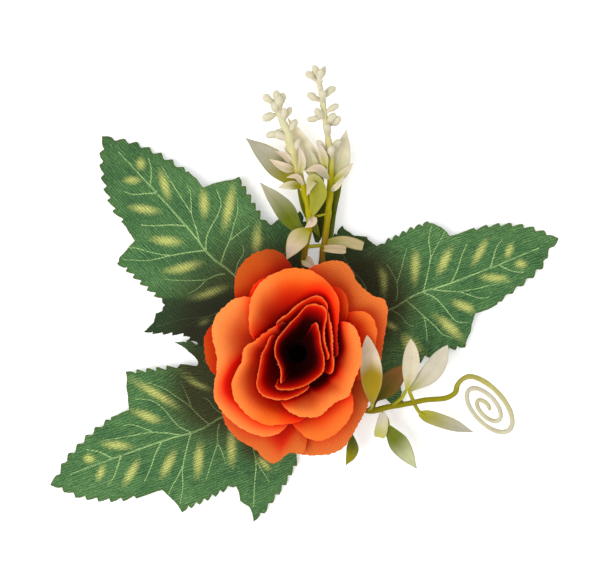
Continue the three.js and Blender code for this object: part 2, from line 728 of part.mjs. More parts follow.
// The two bud spikes, each a path from where the stems part to its top.
const LEFT_SPIKE = [
  [2.3, 17, 10.4], [3.6, 29.2, 13], [2.3, 34.1, 14], [2.7, 38.5, 15], [4.2, 46, 15.5], [4.2, 51.6, 15.5],
  [2.3, 61.7, 15], [-0.8, 71.5, 14], [-3.6, 82.1, 13], [-6, 87.4, 12], [-8.2, 93.6, 11.2],
];
const RIGHT_SPIKE = [
  [2.3, 17, 10.4], [8.4, 30.5, 12], [9.4, 38.6, 12.6], [10.2, 43.1, 13], [11.3, 51.7, 13], [12, 60.3, 13],
  [12.4, 72.3, 13], [11.4, 79.9, 12.5], [9.8, 88.1, 12], [7.8, 97.5, 11], [7.2, 103.6, 10.4],
];
const LEFT_FIRST_WHORL = 47;
const RIGHT_FIRST_WHORL = 51;
const CROSS_BAR = [[2.6, 39.6, 15], [6, 40, 14], [9.6, 40.4, 12.7]];
const BUD_SPRIG_LEAVES = [
  { points: [[1.6, 64, 14.6], [-8, 73.4, 12.4], [-19.4, 80.6, 9.4]], width: 7.9 },
  { points: [[3.9, 46, 14.8], [-5, 56, 13], [-14.1, 63.8, 11.4]], width: 8.3 },
  { points: [[12, 62.4, 12.6], [5, 76, 9], [-3.7, 88.3, 8]], width: 7.5 },
  { points: [[12.2, 62, 12.6], [16.4, 72, 10.4], [18.3, 83.8, 8.8]], width: 6.8 },
  { points: [[10.2, 42, 12.6], [15.5, 54, 11.5], [18.1, 68, 9.4]], width: 5, facing: [1, -0.3, 0.45] },
  { points: [[4.4, 50.4, 15.6], [6.4, 60, 18.2], [4.6, 63, 20.6], [2.9, 58.2, 22]], width: 5.4 },
  { points: [[4.3, 50, 15.6], [5, 47.6, 18.4], [2.7, 46.4, 19.4]], width: 2.6 },
  { points: [[4, 46.6, 15.6], [0, 42.4, 19.4], [-4.2, 34.9, 22.8]], width: 7.5 },
  { points: [[9.6, 40.6, 12.8], [17, 41.4, 12.2], [24.5, 39, 11]], width: 3.8 },
  { points: [[9.5, 40, 12.7], [13, 37.8, 13.6], [17.7, 37, 13]], width: 3.2 },
  { points: [[2.3, 35.6, 14.2], [3.9, 33.6, 15.4], [4.6, 31, 15.8]], width: 3 },
  { points: [[2.4, 62, 15], [-2, 62.6, 15.4], [-5.6, 61.4, 14.4]], width: 2.8 },
  { points: [[12.3, 63.6, 13], [16.4, 66.6, 13], [20.7, 71.3, 11.4]], width: 3 },
];

const asPoints = (list) => list.map((p) => point(...p));

const sprigLeaves = (list) => list.map(({ points, width, facing }) =>
  blade(asPoints(points), width, facing ? { facing: point(...facing).normalize() } : {}));

function budSprig() {
  const root = stem([...socketStart(SOCKETS.bud_sprig), point(...LEFT_SPIKE[0])], SPRIG_STEM_RADIUS);
  const left = asPoints(LEFT_SPIKE);
  const right = asPoints(RIGHT_SPIKE);
  return fuse([
    root,
    stem(left, SPRIG_STEM_RADIUS, STALK_RADIUS),
    stem(right, SPRIG_STEM_RADIUS, STALK_RADIUS),
    stem(asPoints(CROSS_BAR), STALK_RADIUS),
    ...budSpike(left, LEFT_FIRST_WHORL),
    ...budSpike(right, RIGHT_FIRST_WHORL),
    ...sprigLeaves(BUD_SPRIG_LEAVES),
  ]);
}

const TENDRIL_STEM = [
  [14, -12.4, 10], [25.5, -21.6, 13.2], [34, -20.3, 13], [41.3, -19.1, 12], [47.8, -17.8, 11],
  [56.1, -16.9, 10.5], [59.1, -15, 11], [59.8, -12.2, 12.8], [61.6, -9.8, 15.5],
];
const STALKS = [
  [[26.9, -21.4, 13.2], [28.6, -19.8, 16], [29, -17, 20.6]],
  [[35, -20.1, 12.9], [39, -16.6, 14.6], [40.6, -13.6, 15.4]],
  [[43.6, -18.7, 11.6], [42.4, -16, 13.6], [41.4, -13.4, 15]],
  [[43.4, -18.8, 11.6], [45.9, -22.6, 11.5], [48, -24, 11]],
  [[31, -21.2, 13.1], [33.4, -25, 12], [34.2, -28, 11.4]],
  [[14, -12.4, 10], [18.4, -22, 11], [20.3, -31.4, 11.8]],
];
const TENDRIL_SPRIG_LEAVES = [
  { points: [[29.2, -18, 20.4], [28.4, -7, 32], [25.8, 6.7, 36]], width: 7.5 },
  { points: [[28.4, -21, 13.2], [36, -11, 12.4], [41.3, -4.6, 12]], width: 8.3 },
  { points: [[40.4, -14, 15.2], [41.6, -5, 18.6], [41.7, 5.3, 21]], width: 6 },
  { points: [[41.5, -14.4, 14.4], [50.4, -7.4, 16.4], [55.7, 2.7, 18]], width: 6.8 },
  { points: [[47, -23.6, 11.2], [57, -28.4, 9.6], [66, -29.6, 7.6]], width: 4.9 },
  { points: [[30.4, -21.4, 13.1], [28.8, -27.4, 12.6], [28.6, -33, 11]], width: 4.6 },
  { points: [[34, -27, 11.6], [38, -37.4, 9.8], [44.6, -43.6, 6.8]], width: 7.5 },
  { points: [[20.2, -30.6, 11.8], [20.4, -37, 10.6], [18.1, -42.4, 8.4]], width: 4.6 },
];

// The coil: a flat spiral about its centre that stands leaning, its long axis down to the right.
const COIL_CENTRE = [70.9, -20.3, 14];
const COIL_HEADING = -50;
const COIL_LEAN = 61;
const COIL_RADIUS = 14.4;
const COIL_PITCH = 5.3; // radius lost in a turn
const COIL_FROM = 0.06;
const COIL_TURNS = 2.4;
const COIL_DRIFT = 0.5; // sideways for each turn
const COIL_STEPS_PER_TURN = 12;

function coilPoints() {
  const long = point(Math.cos(radians(COIL_HEADING)), Math.sin(radians(COIL_HEADING)), 0);
  const wide = point(-long.y, long.x, 0).multiplyScalar(Math.cos(radians(COIL_LEAN)));
  wide.z = Math.sin(radians(COIL_LEAN));
  const steps = Math.round((COIL_TURNS - COIL_FROM) * COIL_STEPS_PER_TURN);
  return Array.from({ length: steps + 1 }, (_, k) => {
    const turns = mix(COIL_FROM, COIL_TURNS, k / steps);
    const radius = COIL_RADIUS - COIL_PITCH * turns;
    const angle = 2 * Math.PI * turns;
    return point(...COIL_CENTRE)
      .addScaledVector(long, -radius * Math.cos(angle))
      .addScaledVector(wide, radius * Math.sin(angle) - COIL_DRIFT * turns);
  });
}

function tendrilSprig() {
  const path = [...socketStart(SOCKETS.tendril_sprig), ...asPoints(TENDRIL_STEM), ...coilPoints()];
  return fuse([
    stem(path, SPRIG_STEM_RADIUS, TENDRIL_END_RADIUS, STEM_SIDES, COIL_STEP),
    ...STALKS.map((points) => stem(asPoints(points), STALK_RADIUS)),
    ...sprigLeaves(TENDRIL_SPRIG_LEAVES),
  ]);
}

// ---------------------------------------------------------------- the spray

const plastic = (color) => new THREE.MeshStandardMaterial({ color, roughness: 0.45, metalness: 0 });
const cloth = (color) => new THREE.MeshStandardMaterial({ color, roughness: 0.85, metalness: 0 });

const spray = new THREE.Group();

function piece(name, geometry, material) {
  const mesh = new THREE.Mesh(geometry, material);
  mesh.name = name;
  spray.add(mesh);
  return mesh;
}

piece('rose_stem', roseStem(), plastic(0x6f8a3a));
piece('calyx', calyx(), plastic(0x5f8a45));
piece('binding', binding(), cloth(0x4d7040));
const RING_COLOURS = [0xe8401c, 0xee4f1f, 0xf25f24, 0xf56c2a, 0xee5f25];
RING_COLOURS.forEach((colour, k) => piece(`petal_ring_${k + 1}`, petalRing(k), cloth(colour)));
for (const name of Object.keys(LEAVES)) {
  const leaf = piece(name, leafBlade(name), cloth(0x4f7f55));
  leaf.position.set(...LEAVES[name].at, 0);
  leaf.rotation.z = radians(LEAVES[name].heading);
  piece(`${name}_stem`, leafStem(name), plastic(0x6f8f3f));
}
piece('bud_sprig', budSprig(), plastic(0xcfc88a));
piece('tendril_sprig', tendrilSprig(), plastic(0xcfc878));

export default spray;
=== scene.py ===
"""An artificial rose spray: the finish of its cloth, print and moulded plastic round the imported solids.

Sizes in the tables are millimetres and angles are degrees. Colours are sRGB as they read on a face that
looks straight up in this studio, where a white sheet is LEVEL times white; red above 255 burns out.
"""

import math
import random
from collections import namedtuple

import bmesh
import bpy
import numpy as np
from bpy.props import FloatProperty, FloatVectorProperty, IntProperty, PointerProperty
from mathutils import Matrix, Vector, noise
from mathutils.geometry import delaunay_2d_cdt


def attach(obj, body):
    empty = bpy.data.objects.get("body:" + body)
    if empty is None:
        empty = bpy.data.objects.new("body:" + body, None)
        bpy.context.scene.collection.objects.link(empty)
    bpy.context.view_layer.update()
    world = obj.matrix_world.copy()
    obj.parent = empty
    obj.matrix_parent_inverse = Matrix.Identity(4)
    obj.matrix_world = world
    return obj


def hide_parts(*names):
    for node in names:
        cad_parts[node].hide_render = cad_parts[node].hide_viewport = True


bl_info = {
    "name": "Rose spray",
    "version": (1, 0, 0),
    "blender": (4, 5, 0),
    "location": "View3D > Sidebar > Rose spray",
    "description": "Builds the cloth rose, printed leaves and moulded sprigs of an artificial rose spray",
    "category": "Object",
}

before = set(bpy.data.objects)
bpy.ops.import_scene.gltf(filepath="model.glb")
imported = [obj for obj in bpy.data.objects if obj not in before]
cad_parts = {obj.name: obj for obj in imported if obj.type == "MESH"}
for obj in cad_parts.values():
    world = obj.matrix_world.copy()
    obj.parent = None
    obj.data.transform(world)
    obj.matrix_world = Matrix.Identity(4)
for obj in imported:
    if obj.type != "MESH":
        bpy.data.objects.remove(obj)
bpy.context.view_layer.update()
MM = 0.001
LEVEL = 1.4

# ---------------------------------------------------------------- the rose's petals

# Each ring's petals grow from a hub, a flat disc with a hole for the peg. Their cloth strays by RIPPLE, as
# (size of its waves, share) pairs, their cut edge is nicked by NICK, and LIP is how wide the pale edge is,
# and LIP_PALENESS how pale on each ring. For the painted shade under covering petals, a petal covers another
# of its own ring where its rim lies COVER_GAP further in, and the edge of that painted shade is smoothed over
# COVER_BLUR degrees. ROW_CROWDING below 1 crowds the rows of faces towards the rim.
HUB_LEVELS = (21.0, 19.8, 18.6, 17.4, 16.2)
HUB_THICKNESS = 0.8
HUB_HOLE = 2.2
HUB_BRIM = 0.7
HUB_SIDES = 48
SHOULDERS = (20, 20)
SHOULDER_DROP = 0.42
RIM_WAVE = 0.5
RIM_WAVES = 4
PETAL_RIPPLE = ((9.0, 0.9), (3.4, 0.25))
LOOSE = (0.35, 1.0)
NICK = 0.22
LIP = 0.9
LIP_PALENESS = (1, 1, 0.35, 0.35, 0.35)
COVER_GAP = 0.5
COVER_BLUR = 4
ROW_CROWDING = 0.8
FEWEST_COLUMNS = 24
NICK_SEED = 40

# How each ring's petals open: the share of their reach, then of their height, at two thirds of the curve.
PROFILES = (
    ((0.6, 0.9), (0.05, 1.0)), ((0.56, 0.88), (0.03, 1.02)), ((0.48, 0.7), (0, 1.06)),
    ((0.42, 0.64), (0, 1.08)), ((0.4, 0.64), (0.05, 1.1)),
)

# How each ring's colour fades from the rim (1) to the heart (0): the dye's orange and red, darkened by
# painted shade down into the cup, as [millimetres below the rim, dye and shade].
RIM_DYE_AND_SHADE = (
    ((0, 0.88), (0.8, 0.74), (1.8, 0.58), (3.5, 0.49), (7, 0.39), (12, 0.27), (20, 0.1), (40, 0)),
    ((0, 0.88), (1.0, 0.72), (3, 0.6), (6, 0.5), (12, 0.4), (40, 0.25)),
    ((0, 1), (3, 0.98), (6, 0.88), (10, 0.76), (14, 0.64), (25, 0.5), (50, 0.4)),
    ((0, 1), (4, 0.98), (7, 0.92), (11, 0.8), (16, 0.66), (24, 0.54), (50, 0.45)),
    ((0, 0.98), (5, 0.95), (9, 0.88), (13, 0.8), (18, 0.7), (50, 0.5)),
)

# Painted shade under the next rings and covering petals that lie over a petal: [millimetres outside their
# rims, dye and shade].
COVER_SHADE = (
    ((-50, 1), (50, 1)),
    ((-50, 0.34), (-2, 0.36), (0, 0.44), (1, 0.6), (2.4, 0.8), (4, 1), (50, 1)),
    ((-50, 0.1), (-3, 0.16), (-1, 0.34), (0, 0.47), (1.2, 0.6), (3, 0.74), (5, 0.88), (8, 1), (50, 1)),
    ((-50, 0.4), (-3, 0.44), (0, 0.54), (1.2, 0.66), (2.8, 0.8), (5, 0.93), (7, 1), (50, 1)),
    ((-50, 0.48), (-3, 0.54), (0, 0.64), (1.2, 0.74), (3, 0.85), (6, 0.95), (9, 1), (50, 1)),
)

# A petal's rim is [degrees, radius] pairs round the rose's axis; height is the rim's height at its ends, and
# shoulders how many degrees it takes to rise there. light is painted light, from -1 to 1: how much paler a
# petal is painted where it faces the lamps, or duller where it faces away; shade is painted shade, the share
# of its colour that is left. deep is how many millimetres further out the painted shade of the dark heart
# under the covering petals reaches, and quick how many times faster than usual it fades. foot is the share
# of its way up at which the petal starts, where its edge is curled in. turn is the angle of the weave. light,
# shade, deep and foot may be [degrees, value] pairs along the rim.
PETAL_RINGS = (
    (3.5, (
        dict(height=(45, 45), light=0.0, shoulders=(20, 6),
             rim=((-12, 11.8), (12, 10.9), (29, 11.4), (41, 13), (48, 15), (53, 17.3), (58, 19.2), (66, 19.7),
                  (77, 18.7), (82, 17.1), (89, 14.3), (102, 12), (120, 10.2), (145, 9.4), (166, 8.7),
                  (186, 8.1), (204, 7.7), (222, 8.2), (232, 9.6), (239, 11.8), (243, 13))),
        dict(height=(44.4, 44), light=0.0, shoulders=(6, 8),
             rim=((232, 14), (240, 14.6), (250, 13.7), (263, 12.5), (276, 11.7), (293, 11), (311, 10.8),
                  (326, 11), (340, 10.4), (355, 9.6), (372, 9.1), (390, 9.6), (404, 11.3), (414, 12.7),
                  (424, 14.5))),
    )),
    (4, (
        dict(height=(42.5, 45), light=-0.1, shoulders=(14, 20),
             rim=((-34, 14.6), (-20, 14), (-5, 13.2), (5, 13), (20, 13.6), (40, 16), (55, 19.3), (60, 21.3),
                  (65, 22.5), (71, 22.7), (76, 21.8), (82, 20.2), (90, 18.3), (98, 16.5), (106, 15.2),
                  (117, 14.6), (128, 14.4))),
        dict(height=(45, 43.5), light=0.1,
             rim=((138, 12.2), (157, 11.7), (169, 12), (180, 13), (191, 13.8), (200, 15.1), (209, 16.8),
                  (217, 18.8), (225, 19.5), (233, 19.2), (242, 18.3), (251, 17.3), (258, 16.4), (266, 15.2),
                  (281, 13.6), (292, 13.2))),
    )),
    (4.5, (
        dict(height=(42, 43.5), light=((-8, 0.1), (100, 0.1), (116, 0.45), (130, 0.4), (164, 0.3)),
             deep=((-8, 2.4), (40, 1.6), (60, 1.2), (105, 1.4), (125, 1.2), (164, 0.8)),
             rim=((-8, 15.4), (16, 15.2), (27, 16.2), (36, 18.1), (44, 20.8), (49, 23.2), (56, 25.7),
                  (64, 27.9), (73, 29.7), (82, 31.1), (92, 31.5), (102, 31.2), (111, 30.3), (120, 29),
                  (130, 26.4), (138, 23.8), (147, 21.2), (164, 18.1))),
        dict(height=(45, 41), light=((107, 0.4), (225, 0.4), (250, -0.2), (282, -0.3)), shoulders=(12, 20),
             foot=((107, 0.62), (128, 0.6), (136, 0.3), (142, 0), (160, 0), (282, 0)),
             rim=((107, 13.4), (114, 13.3), (124, 13.1), (138, 13.8), (148, 14.6), (162, 16.4), (171, 19.3),
                  (178, 20), (187, 20.5), (194, 22.7), (202, 25.7), (209, 27.3), (217, 28.2), (230, 28.5),
                  (243, 28.2), (250, 27.3), (258, 25.9), (268, 25.2), (282, 25.6))),
        dict(height=(41.5, 43), light=0.5, quick=1.8,
             deep=((246, 0.8), (280, 1.6), (290, 2.4), (296, 4.2), (316, 4.8), (324, 4), (332, 2.2),
                   (350, 1.9), (400, 1.7)),
             rim=((246, 20), (261, 21), (273, 22.5), (284, 23.4), (289, 23.7), (299, 22.6), (310, 22.2),
                  (321, 23.8), (328, 23.1), (340, 22.6), (350, 23.2), (371, 23.3), (390, 23.3), (400, 22.6))),
    )),
    (5, (
        dict(height=(34, 34), light=-0.1, rim=((68, 31), (85, 31), (102, 30.8), (120, 30.4), (138, 29.5))),
        dict(height=(37, 38), light=0.85,
             deep=((122, 0), (176, 0), (190, 3.4), (206, 3.4), (222, 0.6), (265, 0)),
             rim=((122, 28), (133, 30.1), (147, 32.1), (158, 33), (169, 31.8), (176, 30.2), (185, 29.6),
                  (193, 30.6), (202, 33.2), (210, 34.6), (219, 34.7), (235, 33.9), (251, 32.2), (265, 30.6))),
        dict(height=(35, 36), light=0.2, shade=0.9,
             rim=((258, 26.6), (270, 28.4), (276, 30.7), (282, 32.4), (286, 32.9), (292, 32.6), (299, 31.8),
                  (308, 30.4), (315, 28.8), (322, 26.9), (332, 24.9))),
        dict(height=(34, 35), light=-0.2,
             rim=((33, 26.2), (42, 26.6), (48, 27.5), (54, 28.5), (60, 28.9), (75, 30))),
        dict(height=(30, 34), light=0.2,
             rim=((-12, 26.4), (0, 28), (12, 29.7), (17, 30.4), (28, 30.8), (34, 30.4), (42, 28.6))),
    )),
    (5.5, (
        dict(height=(27, 28), light=((88, -0.9), (104, -0.5), (114, -0.2), (146, -0.2)),
             shade=((88, 0.42), (102, 0.48), (114, 0.62), (146, 0.62)),
             deep=((88, 3), (102, 1.6), (114, 0), (146, 0)),
             rim=((88, 34), (94, 36.6), (99, 39), (105, 40.2), (114, 40.4), (121, 39.4), (127, 37.6),
                  (134, 34.8), (146, 32))),
        dict(height=(27, 27), light=-0.4, shade=0.7,
             rim=((148, 32), (157, 33), (164, 34.5), (172, 35), (184, 34), (192, 33.4), (204, 33))),
        dict(height=(27, 27.6), light=0.5, shade=0.74, shoulders=(9, 5), turn=77,
             rim=((205, 33), (214, 34.4), (224, 37.3), (233, 38.4), (242, 38.4), (247, 38.9), (252, 40.8),
                  (256.6, 41.6), (259.6, 40.6), (262.6, 38), (266, 36.6), (271, 36.8), (277, 37.8))),
        dict(height=(23.4, 24), light=0.6,
             shade=((246, 0.72), (308, 0.72), (322, 0.66), (330, 0.56), (338, 0.52)), shoulders=(14, 10),
             turn=77,
             rim=((246, 34), (252, 34.6), (258, 35.2), (265, 36.3), (270, 37.2), (278, 38.2), (287, 39.2),
                  (295, 39), (302, 37), (310, 34.6), (319, 33.1), (325, 32), (331, 31), (338, 30.3))),
        dict(height=(24, 28), light=0.5, shade=0.9, shoulders=(10, 20),
             rim=((-25, 30), (-6, 30.8), (5, 31.7), (13, 33.2), (21, 35.5), (27, 37.3), (32, 37.7),
                  (37, 35.3), (45, 34.2), (52, 34.9), (58, 37), (64, 37.8), (70, 36.6), (78, 34), (86, 32.4),
                  (94, 31))),
    )),
)

# ---------------------------------------------------------------- the die-cut leaf, in drawing units

# The outline is cut at points EDGE_STEP apart that stray by EDGE_JITTER, and filled with a grid of points
# that keeps GRID_GAP clear of it and of the veins. A vein's print fades out at VEIN_FADE of its half-width,
# a fleck's by FLECK_FADE, and HEM is how wide the edge is dyed.
LEAF_TIP = (150, 0)
LEAF_SINUS = (-60, 0)
TOOTH_DEPTH = 4.0
EDGE_STEP = 1.25
EDGE_JITTER = 0.16
EDGE_SEED = 5
STRAIGHT_STEP = 3
GRID_STEP = (3.0, 2.6)
GRID_GAP = 1.1
VEIN_STEP = 2.2
VEIN_FADE = 1.15
FLECK_FADE = 1.15
HEM = 4

# One tooth from its notch to the next, as (share of its length, depth below its crown), and a lobe's point.
# The late ones lean back.
TOOTH = ((0.07, 0.54), (0.13, 0.14), (0.19, 0), (0.38, 0.17), (0.6, 0.42), (0.82, 0.78), (0.95, 1.0),
         (1.0, 0.96))
LATE_TOOTH = ((0.1, 0.9), (0.22, 1.0), (0.4, 0.6), (0.58, 0.24), (0.7, 0.05), (0.78, 0), (0.88, 0.22),
              (1.0, 0.7))
POINT = ((0.5, 0.14), (0.8, 0.5), (1.0, 1.0))
LATE_POINT = ((0.5, 0.04), (0.85, 0.24), (1.0, 0.7))

# Each edge of the outline is (end, outward bulge, teeth), with True where its teeth lean back.
LEFT_EDGES = (
    ((77, 42), 8.7, 7), ((47, 42.5), 0, 0), ((42, 54), 0, 0), ((38, 70), -1, 0), ((-15, 65), 1, 6),
    ((-22, 64), 0, 0), ((-20, 79), -1, 0), ((-27, 88), 0, 0), ((-25, 103), -1, 0), ((-92, 58), 9, 7),
    ((-93, 40), 2, 0), ((-84, 22), 2, 0), (LEAF_SINUS, 3, 0),
)
RIGHT_EDGES = (
    ((70, -41), 7.6, 7, True), ((46, -41), 0, 0), ((42, -50), 0, 0), ((36, -61), 0, 0), ((30, -73), -1, 0),
    ((-15, -61), 2, 5), ((-27, -60), 0, 0), ((-29, -71), -1, 0), ((-26, -80), 0, 0), ((-24, -95), -1, 0),
    ((-90, -52), 8, 7), ((-90, -36), 2, 0), ((-82, -20), 2, 0), (LEAF_SINUS, 3, 0),
)

# Printed veins: (half-width at the start, half-width at the end, points).
MIDRIB_WIDTH = (1.5, 0.6)
MAIN_WIDTH = (0.95, 0.45)
TWIG_WIDTH = (0.7, 0.4)
VEINS = (
    (MIDRIB_WIDTH, ((-55, -4), (-30, -3.5), (-15, -0.5), (0, 0), (20, -2), (60, -3), (100, -3), (126, -3))),
    (MAIN_WIDTH, ((73, -3), (80, 6), (88, 15), (95, 19))),
    (MAIN_WIDTH, ((30, -2), (40, 7), (50, 19), (60, 29))),
    (MAIN_WIDTH, ((0, 0), (8, 11), (16, 23), (21, 32), (27, 47), (36, 61))),
    (TWIG_WIDTH, ((19, 28), (28, 36), (38, 44), (46, 52))),
    (MAIN_WIDTH, ((-29, 2), (-25, 8), (-21, 19))),
    (TWIG_WIDTH, ((-21, 19), (-12, 30), (-3, 41), (3, 48))),
    (TWIG_WIDTH, ((-21, 19), (-22, 28), (-21, 40))),
    (MAIN_WIDTH, ((-55, 0), (-53, 25), (-49, 50), (-40, 68), (-31, 88))),
    (TWIG_WIDTH, ((-50, 48), (-54, 70))),
    (MAIN_WIDTH, ((82, -3), (88, -10), (95, -16), (101, -19))),
    (MAIN_WIDTH, ((9, -1), (20, -7), (35, -14))),
    (TWIG_WIDTH, ((35, -14), (50, -17), (68, -20), (88, -24))),
    (TWIG_WIDTH, ((35, -14), (44, -22), (52, -28), (60, -30))),
    (MAIN_WIDTH, ((0, -1), (8, -9), (13, -20), (17, -32), (23, -42), (36, -48))),
    (MAIN_WIDTH, ((-19, -3), (-14, -12), (-8, -25), (0, -38), (6, -48), (16, -57))),
    (TWIG_WIDTH, ((-9, -24), (-11, -46))),
    (TWIG_WIDTH, ((-36, -6), (-30, -15), (-27, -25), (-22, -29))),
    (MAIN_WIDTH, ((-55, -4), (-57, -20), (-56, -36), (-48, -58), (-36, -78))),
    (TWIG_WIDTH, ((-57, -38), (-62, -52))),
)

# Sprayed flecks: (x, y, angle, half-length, half-width).
FLECKS = (
    (98, 6, 45, 8, 3.5), (69, 16, 38, 14, 4), (32, 21, 42, 14, 4.5), (2, 27, 64, 17, 4.5),
    (-33, 26, 70, 18, 4.5), (-56, 52, 110, 9, 3.5), (104, -11, -30, 6, 4.5), (73, -14, -25, 14, 4),
    (34, -30, -42, 13, 4.5), (15, -45, -55, 21, 4.5), (-25, -43, -48, 13, 4), (-43, -20, -50, 8, 3.5),
)

LEAF_HEIGHTS_RAISED = ((-95, 7.6), (-60, 9), (0, 9), (60, 7), (110, 2.8), (138, 0.6), (150, 0.4))
LEAF_HEIGHTS_LOW = ((-95, 4), (-60, 5.5), (0, 7), (60, 5.8), (110, 2.5), (138, 0.6), (150, 0.4))
LEVEL_EDGE = ((-100, 0), (150, 0))

# A leaf lies at a point, with its heading in degrees and its unit in millimetres. Its places of painted shade
# by the rose, brown as if tinted by orange light reflected off the rose, are (x, y, radius where they are
# full, radius where they end). gather, nudges and shifts move its two sides, left and right, and pulls are
# where the set of
# the cloth draws its edge aside: (x, y, how far along, how far across), all in drawing units but the places
# of painted shade. socket is where its stem starts: (degrees, height). OUTER and BACK are where the moves set
# in across the leaf and behind it; the gather draws up what lies behind GATHER_FROM, given at the middle and
# GATHER_SIDE out. FOLD is a point on the crease of the lobe that is painted darker as shade, with the
# direction across it.
PULL_REACH = 5.0
PULL_EASE = 0.15
OUTER = (25, 85)
BACK = (8, 34)
GATHER_FROM = (-55, -31)
GATHER_SIDE = 88
FOLD = (-12, 61, -0.862, 0.507)
FOLD_SHADE = (-2, 6)
TIP_SHADE = (70, 140)
LEAVES = {
    "upper_left_leaf": dict(
        at=(-34.9, 38.5), heading=132.9, unit=0.3925, lobe_shade=1.0, dark_tip=0.3,
        rose_shade_spots=((-6, -4, 34, 60),), heights=LEAF_HEIGHTS_RAISED, gather=(0.45, 0.45),
        nudges=(((-100, 7), (-88, 7), (-78, 5), (-71, 0), (-62, -4), (-50, -4), (-35, 0),
                (150, 0)), LEVEL_EDGE), shifts=(((12, 0), (8, -5)), ((0, 1), (-12, 1))), socket=(132, 6.8),
        pulls=((150, 0, -0.5, -2.2), (144, -4, 1.2, -1.1), (145, 4, -1.2, -1.3), (137, -11, 1.1, -1),
               (127, -18, 0.7, -0.7), (104, -30, -0.5, 1.2), (92, -34, -0.6, 1.7), (80, -38, -0.5, 1.8),
               (67, -41, 0, 1.3), (46, -41, 0, 1.4), (71, 42, -0.9, -1.7), (47, 42, 4, 0.5), (44, 48, 5.2, 2),
               (42, 54, 4.5, 3.3), (39, 60, 5.6, 4), (38, 70, 1, 1.1), (-18, 64, 1.9, 1.2),
               (-22, 64, 3.7, 2.3), (-21, 76, -1.9, -0.8), (-27, 94, 2.2, 0.6), (-25, 103, -0.9, -2.6),
               (-30, 101, 0.8, -2.7), (-41, 98, 2, -1.9), (-46, 92, 0.9, -0.3), (-49, 94, 1.2, -1.5),
               (-54, 91, 1.2, -1.1), (-62, 87, 0.9, -1.9), (-65, 82, -0.6, -2.1), (-69, 82, -1.3, -7.1),
               (-72, 80, -1.4, -7.4), (-74, 75, -0.4, -4), (-78, 74, 0.8, -4.8), (-10, -62, 0.1, -1.6),
               (-13, -58, 0.3, -2.8), (-18, -60, 1.3, -2), (-21, -60, 4.2, -2.6), (-24, -60, 7.6, -3.1),
               (-27, -60, 10.6, -3.6), (-29, -67, 14.1, -4.6), (-29, -71, 12.8, -6), (-27, -77, 8, -5.5),
               (-26, -83, 4.4, -3.7), (-25, -89, 0.6, -0.8), (-24, -95, -3.2, 2.2), (-29, -93, 1.2, 1.3))),
    "right_leaf": dict(
        at=(47.3, 22.9), heading=21.9, unit=0.3692, lobe_shade=0.35, dark_tip=0, rose_shade_spots=((22, 20, 13, 30),),
        heights=LEAF_HEIGHTS_LOW, gather=(0.45, 0.3),
        nudges=(LEVEL_EDGE, ((-100, 0), (-36, 0), (-29, 13), (-15, 12), (0, 6), (14, 0), (150, 0))),
        shifts=(((-7, -3), (-28, -10)), ((-12, 4), (-46, 8))), socket=(28, 4.5),
        pulls=((-22, 64, 12.4, 2.8), (-18, 64, 6.3, 1.1), (-14, 61, 1.5, 2.4), (-21, 70, 10.2, 1.1),
               (-20, 79, 4.3, 0.8), (-24, 85, 6.8, 0.4), (-27, 88, 7.2, 2.3), (-27, 93, 4.8, 2.8),
               (-26, 98, 0, 0), (-25, 103, -5.9, -1.7), (-30, 101, -0.1, -0.3), (33, 69, 0.6, -1.3),
               (38, 70, -1.5, -2.3), (39, 60, 2.4, 1.3), (42, 54, 3.7, 2), (44, 48, 3.6, 1.3),
               (47, 42, 1.1, 0.6), (150, 0, 0.1, -1.6), (144, -4, 1.8, -0.7), (124, -20, 1.5, -2.4),
               (113, -26, 1, -1), (100, -31, 0, 0.5), (88, -36, -0.3, 1.2), (75, -39, 0, 0.9),
               (68, -40, 0.6, -0.6), (58, -41, 0.6, -1.8), (49, -41, -3, -1.3), (44, -44, -2.4, 1),
               (42, -50, -2.1, 0.8), (36, -61, 0, 0), (-24, -60, 4.9, -1.4), (-27, -60, 9.9, -2.9),
               (-28, -63, 11.1, -1.6), (-29, -67, 11.2, -1.2), (-29, -71, 11, -1.1), (-28, -74, 9.3, -1.5),
               (-27, -77, 7, -1.2), (-26, -80, 5.1, -1), (-26, -86, 4, 0.6), (-24, -95, -1.7, 5),
               (-29, -93, 3.4, 1.8), (-33, -91, 1, -1.5))),
    "lower_left_leaf": dict(
        at=(-40.4, -30.4), heading=200.5, unit=0.3823, lobe_shade=0, dark_tip=0,
        rose_shade_spots=((-27, -12, 13, 30), (-14, -33, 5, 12)), heights=LEAF_HEIGHTS_LOW, gather=(0, 0),
        nudges=(LEVEL_EDGE, LEVEL_EDGE), shifts=(((-2, 1), (-1, 2)), ((11, -7), (9, 6))), socket=(230, 4.5),
        pulls=((49, -41, 2, -0.8), (44, -44, 1.4, -0.5), (36, -61, 1.3, 0.6), (-9, -63, -0.7, -1.9),
               (0, -66, -0.3, -0.7), (126, -18, 0.2, -1.1), (-13, -57, -0.5, -5), (-18, -60, -2.6, -4.7),
               (-21, -60, -2.3, -6.1), (-24, -60, -3.5, -5), (-27, -60, -9.5, -1.5), (-28, -63, -9.4, 0.3),
               (-29, -67, -9.4, 0.3), (-29, -71, -10.1, 0.4), (-28, -74, -10.4, 0.7), (-27, -77, -10.6, 1.3),
               (-26, -83, -8.8, 1.9), (-25, -89, -6, 2.4), (-24, -95, -0.5, 4.7), (-29, -93, 0.1, 0.4),
               (-33, -89, -2.7, -4.3), (-39, -90, 0.1, -1.4), (-43, 95, -0.3, -0.9), (-49, 94, 0.6, -4),
               (-60, 89, 1.2, -3.9), (-69, 82, 1.3, -3.6), (-78, 74, 1.1, -2.8), (-85, 65, 0.6, 0.2),
               (128, 19, 0, 1.3))),
}
LEAF_DROOP = 2.2
LEAF_HALF = 25
LEAF_DROOP_POWER = 1.6
LEAF_REST = 0.4
LEAF_RIPPLE = ((14, 0.9), (5, 0.35))
